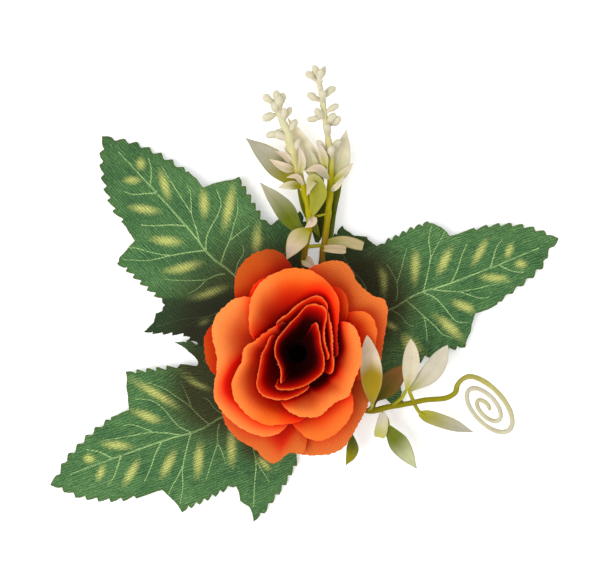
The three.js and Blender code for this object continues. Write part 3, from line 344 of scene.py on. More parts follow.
VEIN_DEPTH = 0.12
LEAF_SEED = 60
LEAF_STEM_RADIUS = 0.9
LEAF_STEM_TAPER = 0.7
LEAF_STEM_END = (0.9, 0.7, 0.4)
LEAF_STEM_DEPTH = 1.8
LEAF_STEM_STEP = 0.8
LEAF_STEM_SIDES = 16
LEAF_STEM_ROUTE = ((-62, -3), (-30, -3), (0, 0), (30, -2), (55, -3))

# ---------------------------------------------------------------- the moulded sprigs

SOCKET_START = (3.9, 7.5)
SPRIG_STEM_RADIUS = 1.1
STALK_RADIUS = 0.7
TENDRIL_END_RADIUS = 0.8
SPRIG_LEAF_THICKNESS = 0.8

# A blade is a trough with a raised rib, thinner towards its edges and its tip, and at least so wide to each
# side near its foot and near its tip. The border between its two colours bows, and its edge and its rib are
# tinted in a band that is given as a share of half its width.
BLADE_STEP = 0.55
BLADE_LANES = 15
BLADE_TROUGH = 0.75
BLADE_RIB = 0.16
BLADE_CURL = 0.5
BLADE_LEAST_SHARE = 0.06
BLADE_LEAST_HALF = (0.42, 0.14)
BLADE_TROUGH_POWER = 1.4
BLADE_RIB_WIDTH = 0.12
BLADE_CURL_WAVE = 6
BLADE_THINNING = 0.62
BLADE_THINNING_POWER = 2.5
BLADE_TAPER = (1.3, 0.3)
BLADE_BORDER_BOW = (0.05, 2.2)
BLADE_EDGE_TINT = 0.6
BLADE_EDGE_BAND = (0.78, 1.0)
BLADE_EDGE_AT_FOOT = 0.25
BLADE_RIB_TINT = 0.18
BLADE_RIB_BAND = 0.1

STEM_SIDES = 14
STEM_END = (0.92, 0.75, 0.45)
KNOT_SPACING = 3.5
SWELL_SPREAD = 0.13

# How wide a moulded leaf is along its length: pointed, fuller, stalked, broad at its base, and snipped off.
BLADE_STATIONS = ((0, 0.2), (0.18, 0.62), (0.42, 1), (0.72, 0.68), (0.92, 0.22), (1, 0.05))
FULL_STATIONS = ((0, 0.14), (0.14, 0.42), (0.36, 0.88), (0.56, 1), (0.76, 0.82), (0.92, 0.4), (1, 0.05))
STALKED_STATIONS = ((0, 0.1), (0.14, 0.14), (0.3, 0.7), (0.52, 1), (0.78, 0.7), (0.94, 0.25), (1, 0.05))
BROAD_STATIONS = ((0, 0.4), (0.12, 0.86), (0.34, 1), (0.66, 0.84), (0.88, 0.36), (1, 0.05))
BLUNT_STATIONS = ((0, 0.2), (0.16, 0.6), (0.45, 0.92), (0.75, 1), (0.95, 0.86), (1, 0.7))

OLIVE = (156, 150, 16)
DARK_OLIVE = (82, 96, 16)
YELLOW_GREEN = (190, 186, 48)
CREAM = (238, 228, 196)
PINKISH = (236, 214, 184)
GREYISH = (200, 194, 172)
PALE = (232, 226, 206)

BUD_SOCKET = (79, 8.6)
LEFT_SPIKE = (
    (2.3, 17, 10.4), (3.6, 29.2, 13), (2.3, 34.1, 14), (2.7, 38.5, 15), (4.2, 46, 15.5), (4.2, 51.6, 15.5),
    (2.3, 61.7, 15), (-1.1, 71.5, 14), (-3.8, 82.1, 13), (-6, 87.4, 12), (-8, 93.6, 11.2),
)
RIGHT_SPIKE = (
    (2.3, 17, 10.4), (8.4, 30.5, 12), (9.4, 38.6, 12.6), (10.2, 43.1, 13), (11.3, 51.7, 13), (12, 60.3, 13),
    (12.4, 72.3, 13), (11.4, 79.9, 12.5), (10.2, 88.1, 12), (8.8, 97.5, 11), (7.4, 103.6, 10.4),
)
CROSS_BAR = ((2.6, 39.6, 15), (6, 40, 14), (9.6, 40.4, 12.7))

# The colours up a spike's stem, from its foot to its tip.
SPIKE_COLOURS = (
    (96, 60, 6), (104, 66, 6), (118, 80, 8), (136, 104, 8), (160, 138, 4), (178, 164, 0), (186, 176, 0),
    (190, 180, 0), (224, 212, 130), (236, 226, 166), (236, 228, 176), (238, 232, 194), (240, 234, 204),
)

# Where each bud ends.
LEFT_BUD_TIPS = (
    (-13.2, 96.6, 11.6), (-8.2, 98.6, 12.2), (-5.4, 97.7, 11.4), (-7.2, 96, 14.6), (-9.6, 94, 13.4),
    (-2.6, 92.3, 12), (-5.2, 91.8, 14.8), (-13.2, 87.9, 12.6), (-8.6, 82.7, 14), (-11.9, 81, 13.4),
    (-0.6, 87.4, 12.6), (0.4, 80, 14.6), (-6, 84.5, 8.4), (-4, 78, 9.6),
)
RIGHT_BUD_TIPS = (
    (5.9, 108.2, 10.6), (3.1, 105.6, 11.4), (10.2, 107.6, 10.8), (8.6, 106, 14.4), (13.7, 100, 11.2),
    (3.6, 97.2, 12.2), (8.8, 98.4, 15.2), (15.3, 93.4, 11.8), (6.6, 91.6, 14.8), (16.2, 88.2, 12.6),
    (13.6, 89.8, 14.6), (3.6, 87.6, 12.8), (10.6, 85.4, 17), (7.2, 79.2, 14), (15.6, 80.2, 13.4),
    (12.6, 77, 17.4), (9.4, 94, 7.4), (11.4, 86, 8.2), (7.8, 104.6, 13.6),
)

# A small moulded leaf: the points along its middle, its width, the colours of its base, tip and edge, where
# along it the base colour gives way to the tip's and how gradually, and its outline.
Blade = namedtuple("Blade", "points width base tip edge border soft stations", defaults=(BLADE_STATIONS,))
BUD_SPRIG_LEAVES = (
    Blade(((0.4, 61.8, 14.6), (-9, 71.8, 12.4), (-19.4, 80.6, 9.4)), 9.2,
          OLIVE, (188, 184, 160), OLIVE, 0.42, 0.3),
    Blade(((3.2, 45.2, 14.8), (-0.6, 47.4, 14.4), (-5.6, 54.4, 13), (-14.1, 63.8, 11.4)), 7.6,
          (108, 120, 12), (196, 190, 160), (150, 148, 116), 0.62, 0.36),
    # This blade's tip and edge are painted paler than white: painted light against the shade it lies in.
    Blade(((9.4, 61.4, 12.6), (3, 75.6, 9), (-3.7, 88.3, 8)), 7.9,
          (200, 198, 90), (276, 266, 232), (262, 256, 232), 0.25, 0.3),
    Blade(((12.2, 62, 12.6), (16, 73, 10.4), (18.3, 83.8, 8.8)), 7.8,
          YELLOW_GREEN, (238, 230, 198), GREYISH, 0.26, 0.4),
    Blade(((11, 40.4, 11.6), (12.6, 54, 10.6), (17, 67.6, 9.4)), 4.3,
          DARK_OLIVE, (126, 128, 24), (66, 80, 14), 0.7, 0.4, BROAD_STATIONS),
    Blade(((5.2, 51, 15.6), (7.6, 60.4, 18.2), (5.6, 64.6, 20.6), (3.4, 58.8, 22)), 6.4,
          (170, 170, 52), (232, 216, 180), (206, 202, 130), 0.75, 0.25),
    Blade(((5, 51.2, 15.6), (5.3, 48.8, 18.4), (2.7, 46.8, 19.4)), 3.5,
          YELLOW_GREEN, PINKISH, PINKISH, 0.2, 0.2),
    Blade(((4, 46.6, 15.6), (0, 42.4, 19.4), (-4.2, 34.9, 22.8)), 7.5,
          YELLOW_GREEN, PINKISH, YELLOW_GREEN, 0.34, 0.4),
    Blade(((9.6, 41.4, 12.8), (17, 41.9, 12.2), (24.5, 40, 11)), 4.2,
          (150, 148, 24), (214, 198, 146), (122, 124, 34), 0.3, 0.4, BLUNT_STATIONS),
    Blade(((8.2, 39.2, 12.7), (13, 39, 14.2), (18, 38.6, 13.6)), 3.3,
          YELLOW_GREEN, (228, 206, 164), PINKISH, 0.12, 0.3, BLUNT_STATIONS),
    Blade(((1.6, 36, 14.2), (4, 33.8, 15.6), (6.4, 31.8, 15.8)), 4.2, YELLOW_GREEN, PINKISH, CREAM, 0.3, 0.3),
    Blade(((2.4, 62, 15), (-2.4, 62.8, 15.4), (-7.3, 61.9, 14.2)), 3.4, OLIVE, CREAM, YELLOW_GREEN, 0.5, 0.3),
    Blade(((12.3, 63.6, 13), (16.4, 66.6, 13), (20.7, 71.3, 11.4)), 3.4,
          YELLOW_GREEN, CREAM, OLIVE, 0.4, 0.3),
    Blade(((2.2, 62.6, 15.4), (-0.6, 66, 17), (-4.2, 65.6, 17.2)), 2.2, CREAM, PINKISH, PINKISH, 0.2, 0.3),
    Blade(((11.6, 65, 13.4), (7.4, 69, 16), (2.6, 68, 16.4)), 3.6, CREAM, PINKISH, CREAM, 0.3, 0.3),
    Blade(((12.2, 60.6, 13.4), (14.6, 62.4, 16), (17.6, 66.4, 15)), 2.2, CREAM, CREAM, PINKISH, 0.3, 0.3),
    Blade(((-0.5, 68.4, 14.2), (-5, 69.4, 17), (-10.6, 72.4, 16.6)), 3.4,
          YELLOW_GREEN, PINKISH, CREAM, 0.2, 0.3),
    Blade(((8.6, 62, 13), (6, 69.5, 14.4), (3.6, 77.6, 13.4)), 4.8,
          (178, 174, 60), (244, 238, 206), (214, 208, 160), 0.55, 0.4),
    Blade(((10.6, 68, 14), (9.6, 73, 15.6), (7.2, 79.6, 14.4)), 3.4,
          (206, 200, 110), (240, 222, 200), (240, 226, 200), 0.45, 0.3),
    Blade(((0.4, 66, 15), (1.6, 71.6, 17), (0.4, 77.4, 16.6)), 3,
          (208, 202, 120), (240, 222, 198), (244, 236, 208), 0.4, 0.3),
    Blade(((-1.6, 69, 14), (-4.4, 73.6, 15), (-8.6, 75.6, 14.4)), 2.8, CREAM, PINKISH, GREYISH, 0.3, 0.3),
    Blade(((7.2, 41.4, 10.4), (8.2, 52, 9.6), (8.8, 64, 9.4)), 7.4,
          (72, 84, 14), (120, 126, 24), (66, 80, 14), 0.6, 0.4),
    Blade(((5.2, 51, 13.2), (6.6, 46.6, 13), (8.4, 43.2, 12.2)), 2.6,
          (132, 136, 26), (96, 108, 22), (70, 84, 16), 0.5, 0.4),
    Blade(((3.8, 49, 13.4), (2, 56, 12.6), (-0.4, 63.4, 12.8)), 2.6,
          (108, 116, 14), (140, 140, 20), DARK_OLIVE, 0.5, 0.4),
    Blade(((5, 50.6, 14.4), (9, 51.6, 16), (12.6, 52.6, 16.4)), 0.9,
          YELLOW_GREEN, YELLOW_GREEN, OLIVE, 0.5, 0.4),
)

TENDRIL_SOCKET = (319, 8.6)
TENDRIL_STEM = (
    (14, -12.4, 10), (25.5, -21.6, 13.2), (34, -20.3, 13), (41.3, -19.1, 12), (47.8, -17.8, 11),
    (56.1, -16.9, 10.5), (59.1, -15, 11), (59.8, -12.2, 12.8), (61.6, -9.8, 15.5),
)
STALKS = (
    ((26.2, -21.5, 13.2), (27.5, -20.2, 17), (27.8, -18.2, 23)),
    ((35, -20.1, 12.9), (39, -16.6, 14.6), (40.6, -13.6, 15.4)),
    ((43.6, -18.7, 11.6), (42.4, -16, 13.6), (41.4, -13.4, 15)),
    ((43.4, -18.8, 11.6), (45.9, -22.6, 11.5), (48, -24, 11)),
    ((31, -21.2, 13.1), (33.4, -25, 12), (34.2, -28, 11.4)),
    ((14, -12.4, 10), (18.4, -22, 11), (20.3, -31.4, 11.8)),
)
TENDRIL_SPRIG_LEAVES = (
    Blade(((27.8, -18.5, 22.6), (27.5, -15.8, 26.4), (27.1, -7, 32.4), (25.4, 6.9, 36)), 8,
          (176, 150, 26), CREAM, PINKISH, 0.6, 0.13, FULL_STATIONS),
    Blade(((28.4, -21, 13.2), (29.6, -17.4, 13.8), (35.4, -10.4, 12.8), (41.3, -4.4, 12)), 8.3,
          (98, 92, 14), (178, 124, 68), (120, 92, 44), 0.6, 0.4, STALKED_STATIONS),
    Blade(((40.6, -14, 15.2), (42.1, -5, 18.6), (42.1, 5.3, 21)), 6.4,
          YELLOW_GREEN, CREAM, PINKISH, 0.16, 0.22, FULL_STATIONS),
    Blade(((41.5, -14.4, 14.4), (49.9, -6.9, 16.4), (55.9, 2.9, 18)), 7.6,
          (164, 162, 40), (222, 214, 190), (190, 186, 168), 0.16, 0.3, FULL_STATIONS),
    Blade(((45.6, -22.8, 11.2), (56.6, -26.6, 9.6), (66, -30, 7.6)), 5.2,
          (176, 172, 48), GREYISH, (160, 158, 90), 0.4, 0.4, BROAD_STATIONS),
    Blade(((31.8, -21.3, 13.1), (31.6, -26.6, 12.6), (30.6, -31.8, 11)), 4.8,
          PALE, (206, 204, 110), GREYISH, 0.5, 0.4, BLUNT_STATIONS),
    Blade(((32.8, -26.8, 11.6), (38.7, -35.2, 9.8), (44.8, -43.8, 6.8)), 7.4,
          (116, 128, 32), (210, 212, 164), (104, 114, 52), 0.5, 0.26),
    Blade(((20.2, -30.6, 11.8), (20.4, -37, 10.6), (18.1, -42.4, 8.4)), 4.6,
          DARK_OLIVE, OLIVE, DARK_OLIVE, 0.5, 0.4),
)

# The tendril's coil: a spiral in a plane that leans over from the floor about a line at COIL_HEADING.
COIL_CENTRE = (70.9, -20.3, 14)
COIL_HEADING = -50
COIL_LEAN = 61
COIL_RADIUS = 14.4
COIL_PITCH = 5.3
COIL_FROM = 0.06
COIL_TURNS = 2.4
COIL_DRIFT = 0.5
COIL_STEPS_PER_TURN = 12
TENDRIL_COLOURS = (
    (106, 86, 0), (130, 118, 0), (150, 140, 4), (166, 158, 24), (200, 192, 112), (222, 216, 184),
    (224, 218, 184), (226, 220, 192), (222, 216, 180), (216, 210, 160),
)

# ---------------------------------------------------------------- the stub, calyx and tape

# Profiles are (radius, height), round the rose's axis.
STUB_PROFILE = (
    (0.02, 0), (2.2, 0), (2.6, 0.4), (2.6, 11.0), (2.4, 11.3), (1.8, 11.3), (1.8, 21.7), (2.6, 21.7),
    (2.8, 22), (2.8, 22.9), (2.3, 23.7), (1.2, 24.05), (0.02, 24.1),
)
# Heights over which the stub's top turns to the painted dark red of the shade in the rose's heart.
STUB_HEART_SHADE = (12, 16)
STUB_SIDES = 40
CALYX_SIDES = 60
CALYX_PROFILE = (
    (2.2, 11.6), (2.9, 11.6), (3.3, 11.8), (4.2, 12.6), (5.6, 13.5), (6.9, 14.3), (7.45, 15.0), (7.4, 15.4),
    (7.1, 15.5), (2.2, 15.5),
)
SEPALS = 5
SEPAL_MIDDLE = ((5, 14.7), (12, 14.7), (19, 14.1))
SEPAL_WIDTH = 7
SEPAL_START = 0.25
SEPAL_SEED = 80
TAPE_TOP = 11.0
TAPE_HOLE = 3.0
TAPE_RADIUS = 5.75
TAPE_ROUND = 0.35
TAPE_STEP = 0.32
TAPE_PITCH = 2.2
TAPE_CREASES = 41
TAPE_CREASE = 0.05
TAPE_COLUMNS = 72
TAPE_ROWS = 88
TAPE_CREASE_LEAN = 5
TAPE_ROUNDED_ROWS = 4

# ---------------------------------------------------------------- the studio

KEY_LIGHT = ("key softbox", (-0.6, -0.3, 1.2), 0.9)
FILL_LIGHT = ("fill softbox", (0.9, 0.5, 0.9), 0.9)
LIGHTS_AIM = (0, 0.01, 0)
VIEW_CENTRE = (0.00304, 0.02394)
SENSOR_MM = 36

# ---------------------------------------------------------------- sums that the pieces share


def mix(a, b, t):
    return a + (b - a) * t


def smooth(x, low, high):
    t = np.clip((x - low) / (high - low), 0, 1)
    return t * t * (3 - 2 * t)


def linear(colour):
    """A colour of the tables as a render's linear one."""
    return tuple((((c / 255 + 0.055) / 1.055) ** 2.4 if c > 10 else c / 255 / 12.92) / LEVEL for c in colour)


def curve_through(pairs, places):
    """The values at places along a list of [place, value] pairs: a smooth curve through them."""
    at, value = np.array(pairs, float).T
    places = np.asarray(places, float)
    last = len(at) - 1
    k = np.clip(np.searchsorted(at, places, side="right") - 1, 0, last - 1)
    before, after = np.maximum(np.arange(last + 1) - 1, 0), np.minimum(np.arange(last + 1) + 1, last)
    slope = (value[after] - value[before]) / (at[after] - at[before])
    span = at[k + 1] - at[k]
    t = (places - at[k]) / span
    return ((2 * t**3 - 3 * t**2 + 1) * value[k] + (t**3 - 2 * t**2 + t) * slope[k] * span
            + (3 * t**2 - 2 * t**3) * value[k + 1] + (t**3 - t**2) * slope[k + 1] * span)


def along_rim(value, degrees):
    """A value for a whole petal, or [degrees, value] pairs along its rim, as a column for its points."""
    pairs = value if isinstance(value, tuple) else ((degrees[0], value), (degrees[-1], value))
    return curve_through(pairs, degrees)[:, None]


def bezier(v, a, b, c, d):
    return (1 - v) ** 3 * a + 3 * v * (1 - v) ** 2 * b + 3 * v**2 * (1 - v) * c + v**3 * d


def unit(vectors):
    return vectors / np.maximum(np.linalg.norm(vectors, axis=-1, keepdims=True), 1e-12)


def wobble(points, scale, seed):
    """Smooth noise at each point, from about -1 to 1."""
    shift = Vector((seed * 7.3, seed * 3.1, seed * 5.7))
    flat = np.asarray(points, float).reshape(-1, 3)
    values = [noise.noise(Vector(p) / scale + shift) for p in flat]
    return np.array(values).reshape(np.shape(points)[:-1])


def ripple_of(points, waves, *seeds):
    """Waves of several sizes on top of each other."""
    return sum(wobble(points, size, seed) * share for (size, share), seed in zip(waves, seeds))


def around(profile, sides):
    """A [radius, height] profile at each step of a turn round the rose's axis."""
    turns = np.linspace(0, 2 * math.pi, sides, endpoint=False)
    return np.array([[(r * math.cos(t), r * math.sin(t), z) for r, z in profile] for t in turns])


CURVE_DETAIL = 24


def smooth_path(points, step):
    """Points about a step apart along a centripetal curve through the given ones."""
    p = [np.array(q, float) for q in points]
    p = [2 * p[0] - p[1], *p, 2 * p[-1] - p[-2]]
    dense = []
    for a, b, c, d in zip(p, p[1:], p[2:], p[3:]):
        ab, bc, cd = (max(np.linalg.norm(y - x), 1e-9) ** 0.5 for x, y in ((a, b), (b, c), (c, d)))
        start = ((b - a) / ab - (c - a) / (ab + bc) + (c - b) / bc) * bc
        end = ((c - b) / bc - (d - b) / (bc + cd) + (d - c) / cd) * bc
        t = np.linspace(0, 1, CURVE_DETAIL, endpoint=False)[:, None]
        dense.append((2 * t**3 - 3 * t**2 + 1) * b + (t**3 - 2 * t**2 + t) * start
                     + (3 * t**2 - 2 * t**3) * c + (t**3 - t**2) * end)
    return resample(np.vstack([*dense, p[-2][None]]), step)


def resample(line, step):
    """The same line with points an even step apart."""
    lengths = np.r_[0, np.cumsum(np.linalg.norm(np.diff(line, axis=0), axis=1))]
    count = max(2, int(round(lengths[-1] / step)) + 1)
    places = np.linspace(0, lengths[-1], count)
    return np.stack([np.interp(places, lengths, line[:, axis]) for axis in range(line.shape[1])], axis=1)


def frames_along(line):
    """Tangent, side and up at each point of a line, turned as little as possible."""
    tangents = unit(np.gradient(line, axis=0))
    side = np.cross(tangents[0], (0, 0, 1) if abs(tangents[0][2]) < 0.9 else (1, 0, 0))
    sides = []
    for tangent in tangents:
        side = unit(side - tangent * np.dot(side, tangent))
        sides.append(side)
    sides = np.array(sides)
    return tangents, sides, np.cross(sides, tangents)


# ---------------------------------------------------------------- meshes


FIELDS = {1: ("FLOAT", "value"), 3: ("FLOAT_VECTOR", "vector"), 4: ("FLOAT_COLOR", "color")}


def linked(name, data):
    """A new object in the scene."""
    made = bpy.data.objects.new(name, data)
    bpy.context.scene.collection.objects.link(made)
    return made


def set_values(mesh, name, values):
    """A value, vector or colour at each point of a mesh."""
    kind, field = FIELDS[values.shape[1]]
    mesh.attributes.new(name, kind, "POINT").data.foreach_set(field, values.astype(np.float32).ravel())


def turn_outwards(mesh):
    work = bmesh.new()
    work.from_mesh(mesh)
    bmesh.ops.recalc_face_normals(work, faces=work.faces)
    work.to_mesh(mesh)
    work.free()


class Piece:
    """The points, faces and point values of one piece while it is put together, in millimetres."""

    def __init__(self):
        self.points, self.faces, self.values, self.count = [], [], {}, 0

    def add(self, points, faces, **values):
        """Points with their faces and any number of named values, each given for every point."""
        points = np.asarray(points, float).reshape(-1, 3)
        self.points.append(points)
        self.faces.extend([tuple(int(k) + self.count for k in face) for face in faces])
        for name, value in values.items():
            chunk = np.asarray(value, float).reshape(len(points), -1)
            self.values.setdefault(name, []).append((self.count, chunk))
        self.count += len(points)

    def sheet(self, over, under, **values):
        """A closed sheet between two grids of points."""
        rows, columns = over.shape[:2]
        index = np.arange(rows * columns).reshape(rows, columns)
        low = index + rows * columns
        a, b, c, d = index[:-1, :-1], index[1:, :-1], index[1:, 1:], index[:-1, 1:]
        faces = [*np.stack([a, b, c, d], -1).reshape(-1, 4)]
        faces += [*(np.stack([a, d, c, b], -1).reshape(-1, 4) + rows * columns)]
        rim = [*index[:, 0], *index[-1, 1:], *index[-2::-1, -1], *index[0, -2:0:-1]]
        for p, q in zip(rim, rim[1:] + rim[:1]):
            faces.append((p, low.flat[p], low.flat[q], q))
        both = {name: np.concatenate([np.asarray(v, float)] * 2) for name, v in values.items()}
        self.add(np.concatenate([over.reshape(-1, 3), under.reshape(-1, 3)]), faces, **both)

    def rings(self, rings, closed=False, **values):
        """A skin over rings of points, with a fan over each end unless it closes on itself.

        Each value is given for every ring or for every point.
        """
        count, sides = rings.shape[:2]
        points = rings.reshape(-1, 3)
        faces = []
        for r in range(count if closed else count - 1):
            for s in range(sides):
                a, b = r * sides + s, r * sides + (s + 1) % sides
                c, d = (b + sides) % (count * sides), (a + sides) % (count * sides)
                faces.append((a, b, c, d))
        extra = {}
        if not closed:
            points = np.concatenate([points, rings[0].mean(0)[None], rings[-1].mean(0)[None]])
            first, last = count * sides, count * sides + 1
            for s in range(sides):
                faces.append((first, (s + 1) % sides, s))
                faces.append((last, (count - 1) * sides + s, (count - 1) * sides + (s + 1) % sides))
        for name, value in values.items():
            value = np.asarray(value, float)
            value = np.repeat(value, sides, axis=0) if len(value) == count else value
            extra[name] = value if closed else np.concatenate([value, value[:1], value[-1:]])
        self.add(points, faces, **extra)

    def tube(self, line, radii, sides, **values):
        """A round bar along a line, its ends rounded off."""
        _, side, up = frames_along(line)
        turns = np.linspace(0, 2 * math.pi, sides, endpoint=False)
        ring = np.cos(turns)[None, :, None] * side[:, None] + np.sin(turns)[None, :, None] * up[:, None]
        self.rings(line[:, None] + ring * radii[:, None, None], **values)

    def build(self, name, material, sharp=50):
        """The finished object, in metres, with its faces outwards."""
        points = np.concatenate(self.points) * MM
        mesh = bpy.data.meshes.new(name)
        mesh.from_pydata(points.tolist(), [], self.faces)
        for key, chunks in self.values.items():
            values = np.zeros((len(points), chunks[0][1].shape[1]))
            for start, chunk in chunks:
                values[start:start + len(chunk)] = chunk
            set_values(mesh, key, values)
        turn_outwards(mesh)
        mesh.materials.append(material)
        mesh.shade_smooth()
        mesh.set_sharp_from_angle(angle=math.radians(sharp))
        return linked(name, mesh)


def settle(piece, slot, *nodes):
    """A finished piece takes its place in the part."""
    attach(piece, "root")
    if nodes:
        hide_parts(*nodes)


# ---------------------------------------------------------------- node trees


class Wire:
    """An output of a node tree that takes arithmetic: each operator adds its Math node."""

    def __init__(self, tree, socket):
        self.tree, self.socket = tree, socket

    def maths(self, operation, *others, first=None, clamp=False):
        terms = (self, *others) if first is None else (first, self)
        return self.tree.add("ShaderNodeMath", {"operation": operation, "use_clamp": clamp}, *terms)

    def __add__(self, other):
        return self.maths("ADD", other)

    def __sub__(self, other):
        return self.maths("SUBTRACT", other)

    def __rsub__(self, other):
        return self.maths("SUBTRACT", first=other)

    def __mul__(self, other):
        return self.maths("MULTIPLY", other)

    def __truediv__(self, other):
        return self.maths("DIVIDE", other)

    __radd__ = __add__
    __rmul__ = __mul__

    def clamp(self):
        return self.maths("ADD", 0.0, clamp=True)

    def step(self, low, high):
        """0 below low, 1 above high and smooth between."""
        return self.tree.add("ShaderNodeMapRange", {"interpolation_type": "SMOOTHSTEP"}, self, low, high)


class Tree:
    """A shader or geometry node tree, built by calls."""

    def __init__(self, tree):
        self.tree = tree
        tree.nodes.clear()

    def add(self, kind, settings=None, *inputs, output=0, **named):
        """One node with its settings, then its sockets' values or links, in order or by name."""
        node = self.tree.nodes.new(kind)
        for key, value in (settings or {}).items():
            if key == "stops":
                self.set_stops(node, value)
            else:
                setattr(node, key, value)
        open_inputs = [s for s in node.inputs if s.enabled and not s.is_unavailable]
        chosen = [*zip(open_inputs, inputs)]
        by_name = {s.name: s for s in reversed(open_inputs)}
        chosen += [(by_name[key.replace("_", " ")], value) for key, value in named.items()]
        for socket, value in chosen:
            if isinstance(value, Wire):
                self.tree.links.new(value.socket, socket)
            elif value is not None:
                socket.default_value = value
        open_outputs = [s for s in node.outputs if s.enabled and not s.is_unavailable]
        if not open_outputs:
            return node
        chosen_output = open_outputs[output] if isinstance(output, int) else node.outputs[output]
        return Wire(self, chosen_output)

    @staticmethod
    def set_stops(node, stops):
        """A float curve's points or a colour ramp's stops."""
        if hasattr(node, "color_ramp"):
            elements = node.color_ramp.elements
            for place, colour in stops[2:]:
                elements.new(place)
            for element, (place, colour) in zip(elements, stops):
                element.position = place
                element.color = (*linear(colour), 1)
            return
        curve = node.mapping.curves[0]
        for place, height in stops[1:-1]:
            curve.points.new(place, height)
        curve.points[0].location, curve.points[-1].location = stops[0], stops[-1]
        node.mapping.update()


class Finish(Tree):
    """A material's node tree with a Principled shader."""

    def __init__(self, name, **constants):
        self.material = bpy.data.materials.new(name)
        self.material.use_nodes = True
        super().__init__(self.material.node_tree)
        self.shader = self.tree.nodes.new("ShaderNodeBsdfPrincipled")
        for key, value in constants.items():
            self.shader.inputs[key.replace("_", " ")].default_value = value

    def place(self):
        return self.add("ShaderNodeTexCoord", output="Object")

    def attribute(self, name, output="Fac"):
        return self.add("ShaderNodeAttribute", {"attribute_name": name}, output=output)

    def grain(self, where, scale, detail=3.0, rough=0.55, stretch=(1, 1, 1)):
        """Noise from 0 to 1 about 0.5, its size given in features a metre."""
        mapped = self.add("ShaderNodeMapping", {}, where, Scale=stretch)
        return self.add("ShaderNodeTexNoise", {}, mapped, Scale=scale, Detail=detail, Roughness=rough)

    def parts(self, vector):
        node = self.add("ShaderNodeSeparateXYZ", {}, vector)
        return [Wire(self, s) for s in node.socket.node.outputs]

    def ramp(self, factor, stops):
        return self.add("ShaderNodeValToRGB", {"stops": stops}, factor)

    def blend(self, factor, a, b):
        a, b = ((*linear(c), 1) if isinstance(c, tuple) else c for c in (a, b))
        return self.add("ShaderNodeMix", {"data_type": "RGBA", "blend_type": "MIX"}, factor, a, b)

    def shaded(self, colour, value):
        """The colour times a value."""
        grey = self.add("ShaderNodeCombineXYZ", {}, value, value, value)
        return self.add("ShaderNodeVectorMath", {"operation": "MULTIPLY"}, colour, grey)

    def finish(self, colour, roughness=None, height=None, depth=0.1, glow=None, glow_share=0.0):
        """Links what varies, and closes the tree. depth is the relief's height in millimetres."""
        links = self.tree.links
        links.new(colour.socket, self.shader.inputs["Base Color"])
        if roughness is not None:
            links.new(roughness.socket, self.shader.inputs["Roughness"])
        if height is not None:
            bump = self.add("ShaderNodeBump", {}, Strength=1.0, Distance=depth * MM, Height=height)
            links.new(bump.socket, self.shader.inputs["Normal"])
        surface = Wire(self, self.shader.outputs[0])
        if glow is not None:
            through = self.add("ShaderNodeBsdfTranslucent", {}, glow)
            surface = self.add("ShaderNodeMixShader", {}, glow_share, surface, through)
        self.add("ShaderNodeOutputMaterial", {}, surface)
        return self.material


def cloth_ribs(u, v, pitch):
    """A plain weave with one stronger thread, from 0 to 1. u and v are millimetres over the cloth."""
    across = (v * (2 * math.pi / pitch)).maths("SINE")
    along = (u * (2 * math.pi / (pitch * 0.8))).maths("SINE")
    return across * 0.32 + along * 0.14 + across * along * 0.1 + 0.5


def petal_cloth(sizes):
    """Fine stiffened polyester, its orange dye darkened by painted shade to red and near black in the heart,
    with painted light and shade for each petal.
    """
    f = Finish("petal cloth", Roughness=0.8, Specular_IOR_Level=0.12)
    u, v, _ = f.parts(f.attribute("cloth", "Vector"))
    lift, light = f.attribute("lift"), f.attribute("light")
    broad = f.grain(f.place(), 90, 2)
    fibres = f.grain(f.attribute("cloth", "Vector"), 1.6, 3, 0.7)
    ribs = cloth_ribs(u, v, sizes.rib_pitch / MM)
    # The ramp's place runs from the heart's painted shade (0) to the orange rim (1); the ramp holds the
    # orange dye and its painted shade, red down to near black.
    place = (lift + (broad - 0.5) * 0.10 + light * 0.05).clamp()
    shaded_dye = f.ramp(place, ((0.0, (24, 0, 0)), (0.2, (112, 0, 0)), (0.4, (226, 4, 0)), (0.6, (290, 40, 2)),
                          (0.8, (292, 92, 14)), (1.0, (294, 142, 44))))
    # Painted light and shade: petals with light above 0 are painted paler towards the rim, those below 0
    # duller.
    pale = f.blend((light * (lift - 0.5) * 1.5).clamp(), shaded_dye, (296, 196, 104))
    painted_light_and_shade = f.blend((light * -0.55).clamp(), pale, (226, 76, 20))
    rim = f.attribute("edge").step(0.1, 1.0)
    lipped = f.blend(rim * 0.55, painted_light_and_shade, (290, 154, 80))
    weave = (ribs - 0.5) * (place * 0.46 + 0.13) + fibres * 0.34 + 0.83
    # shade is painted shade, kept as a share of each petal's colour.
    worked = f.shaded(lipped, weave * f.attribute("shade"))
    height = ribs + fibres * 0.4
    return f.finish(worked, fibres * 0.12 + 0.72, height, 0.05, glow=painted_light_and_shade, glow_share=0.25)


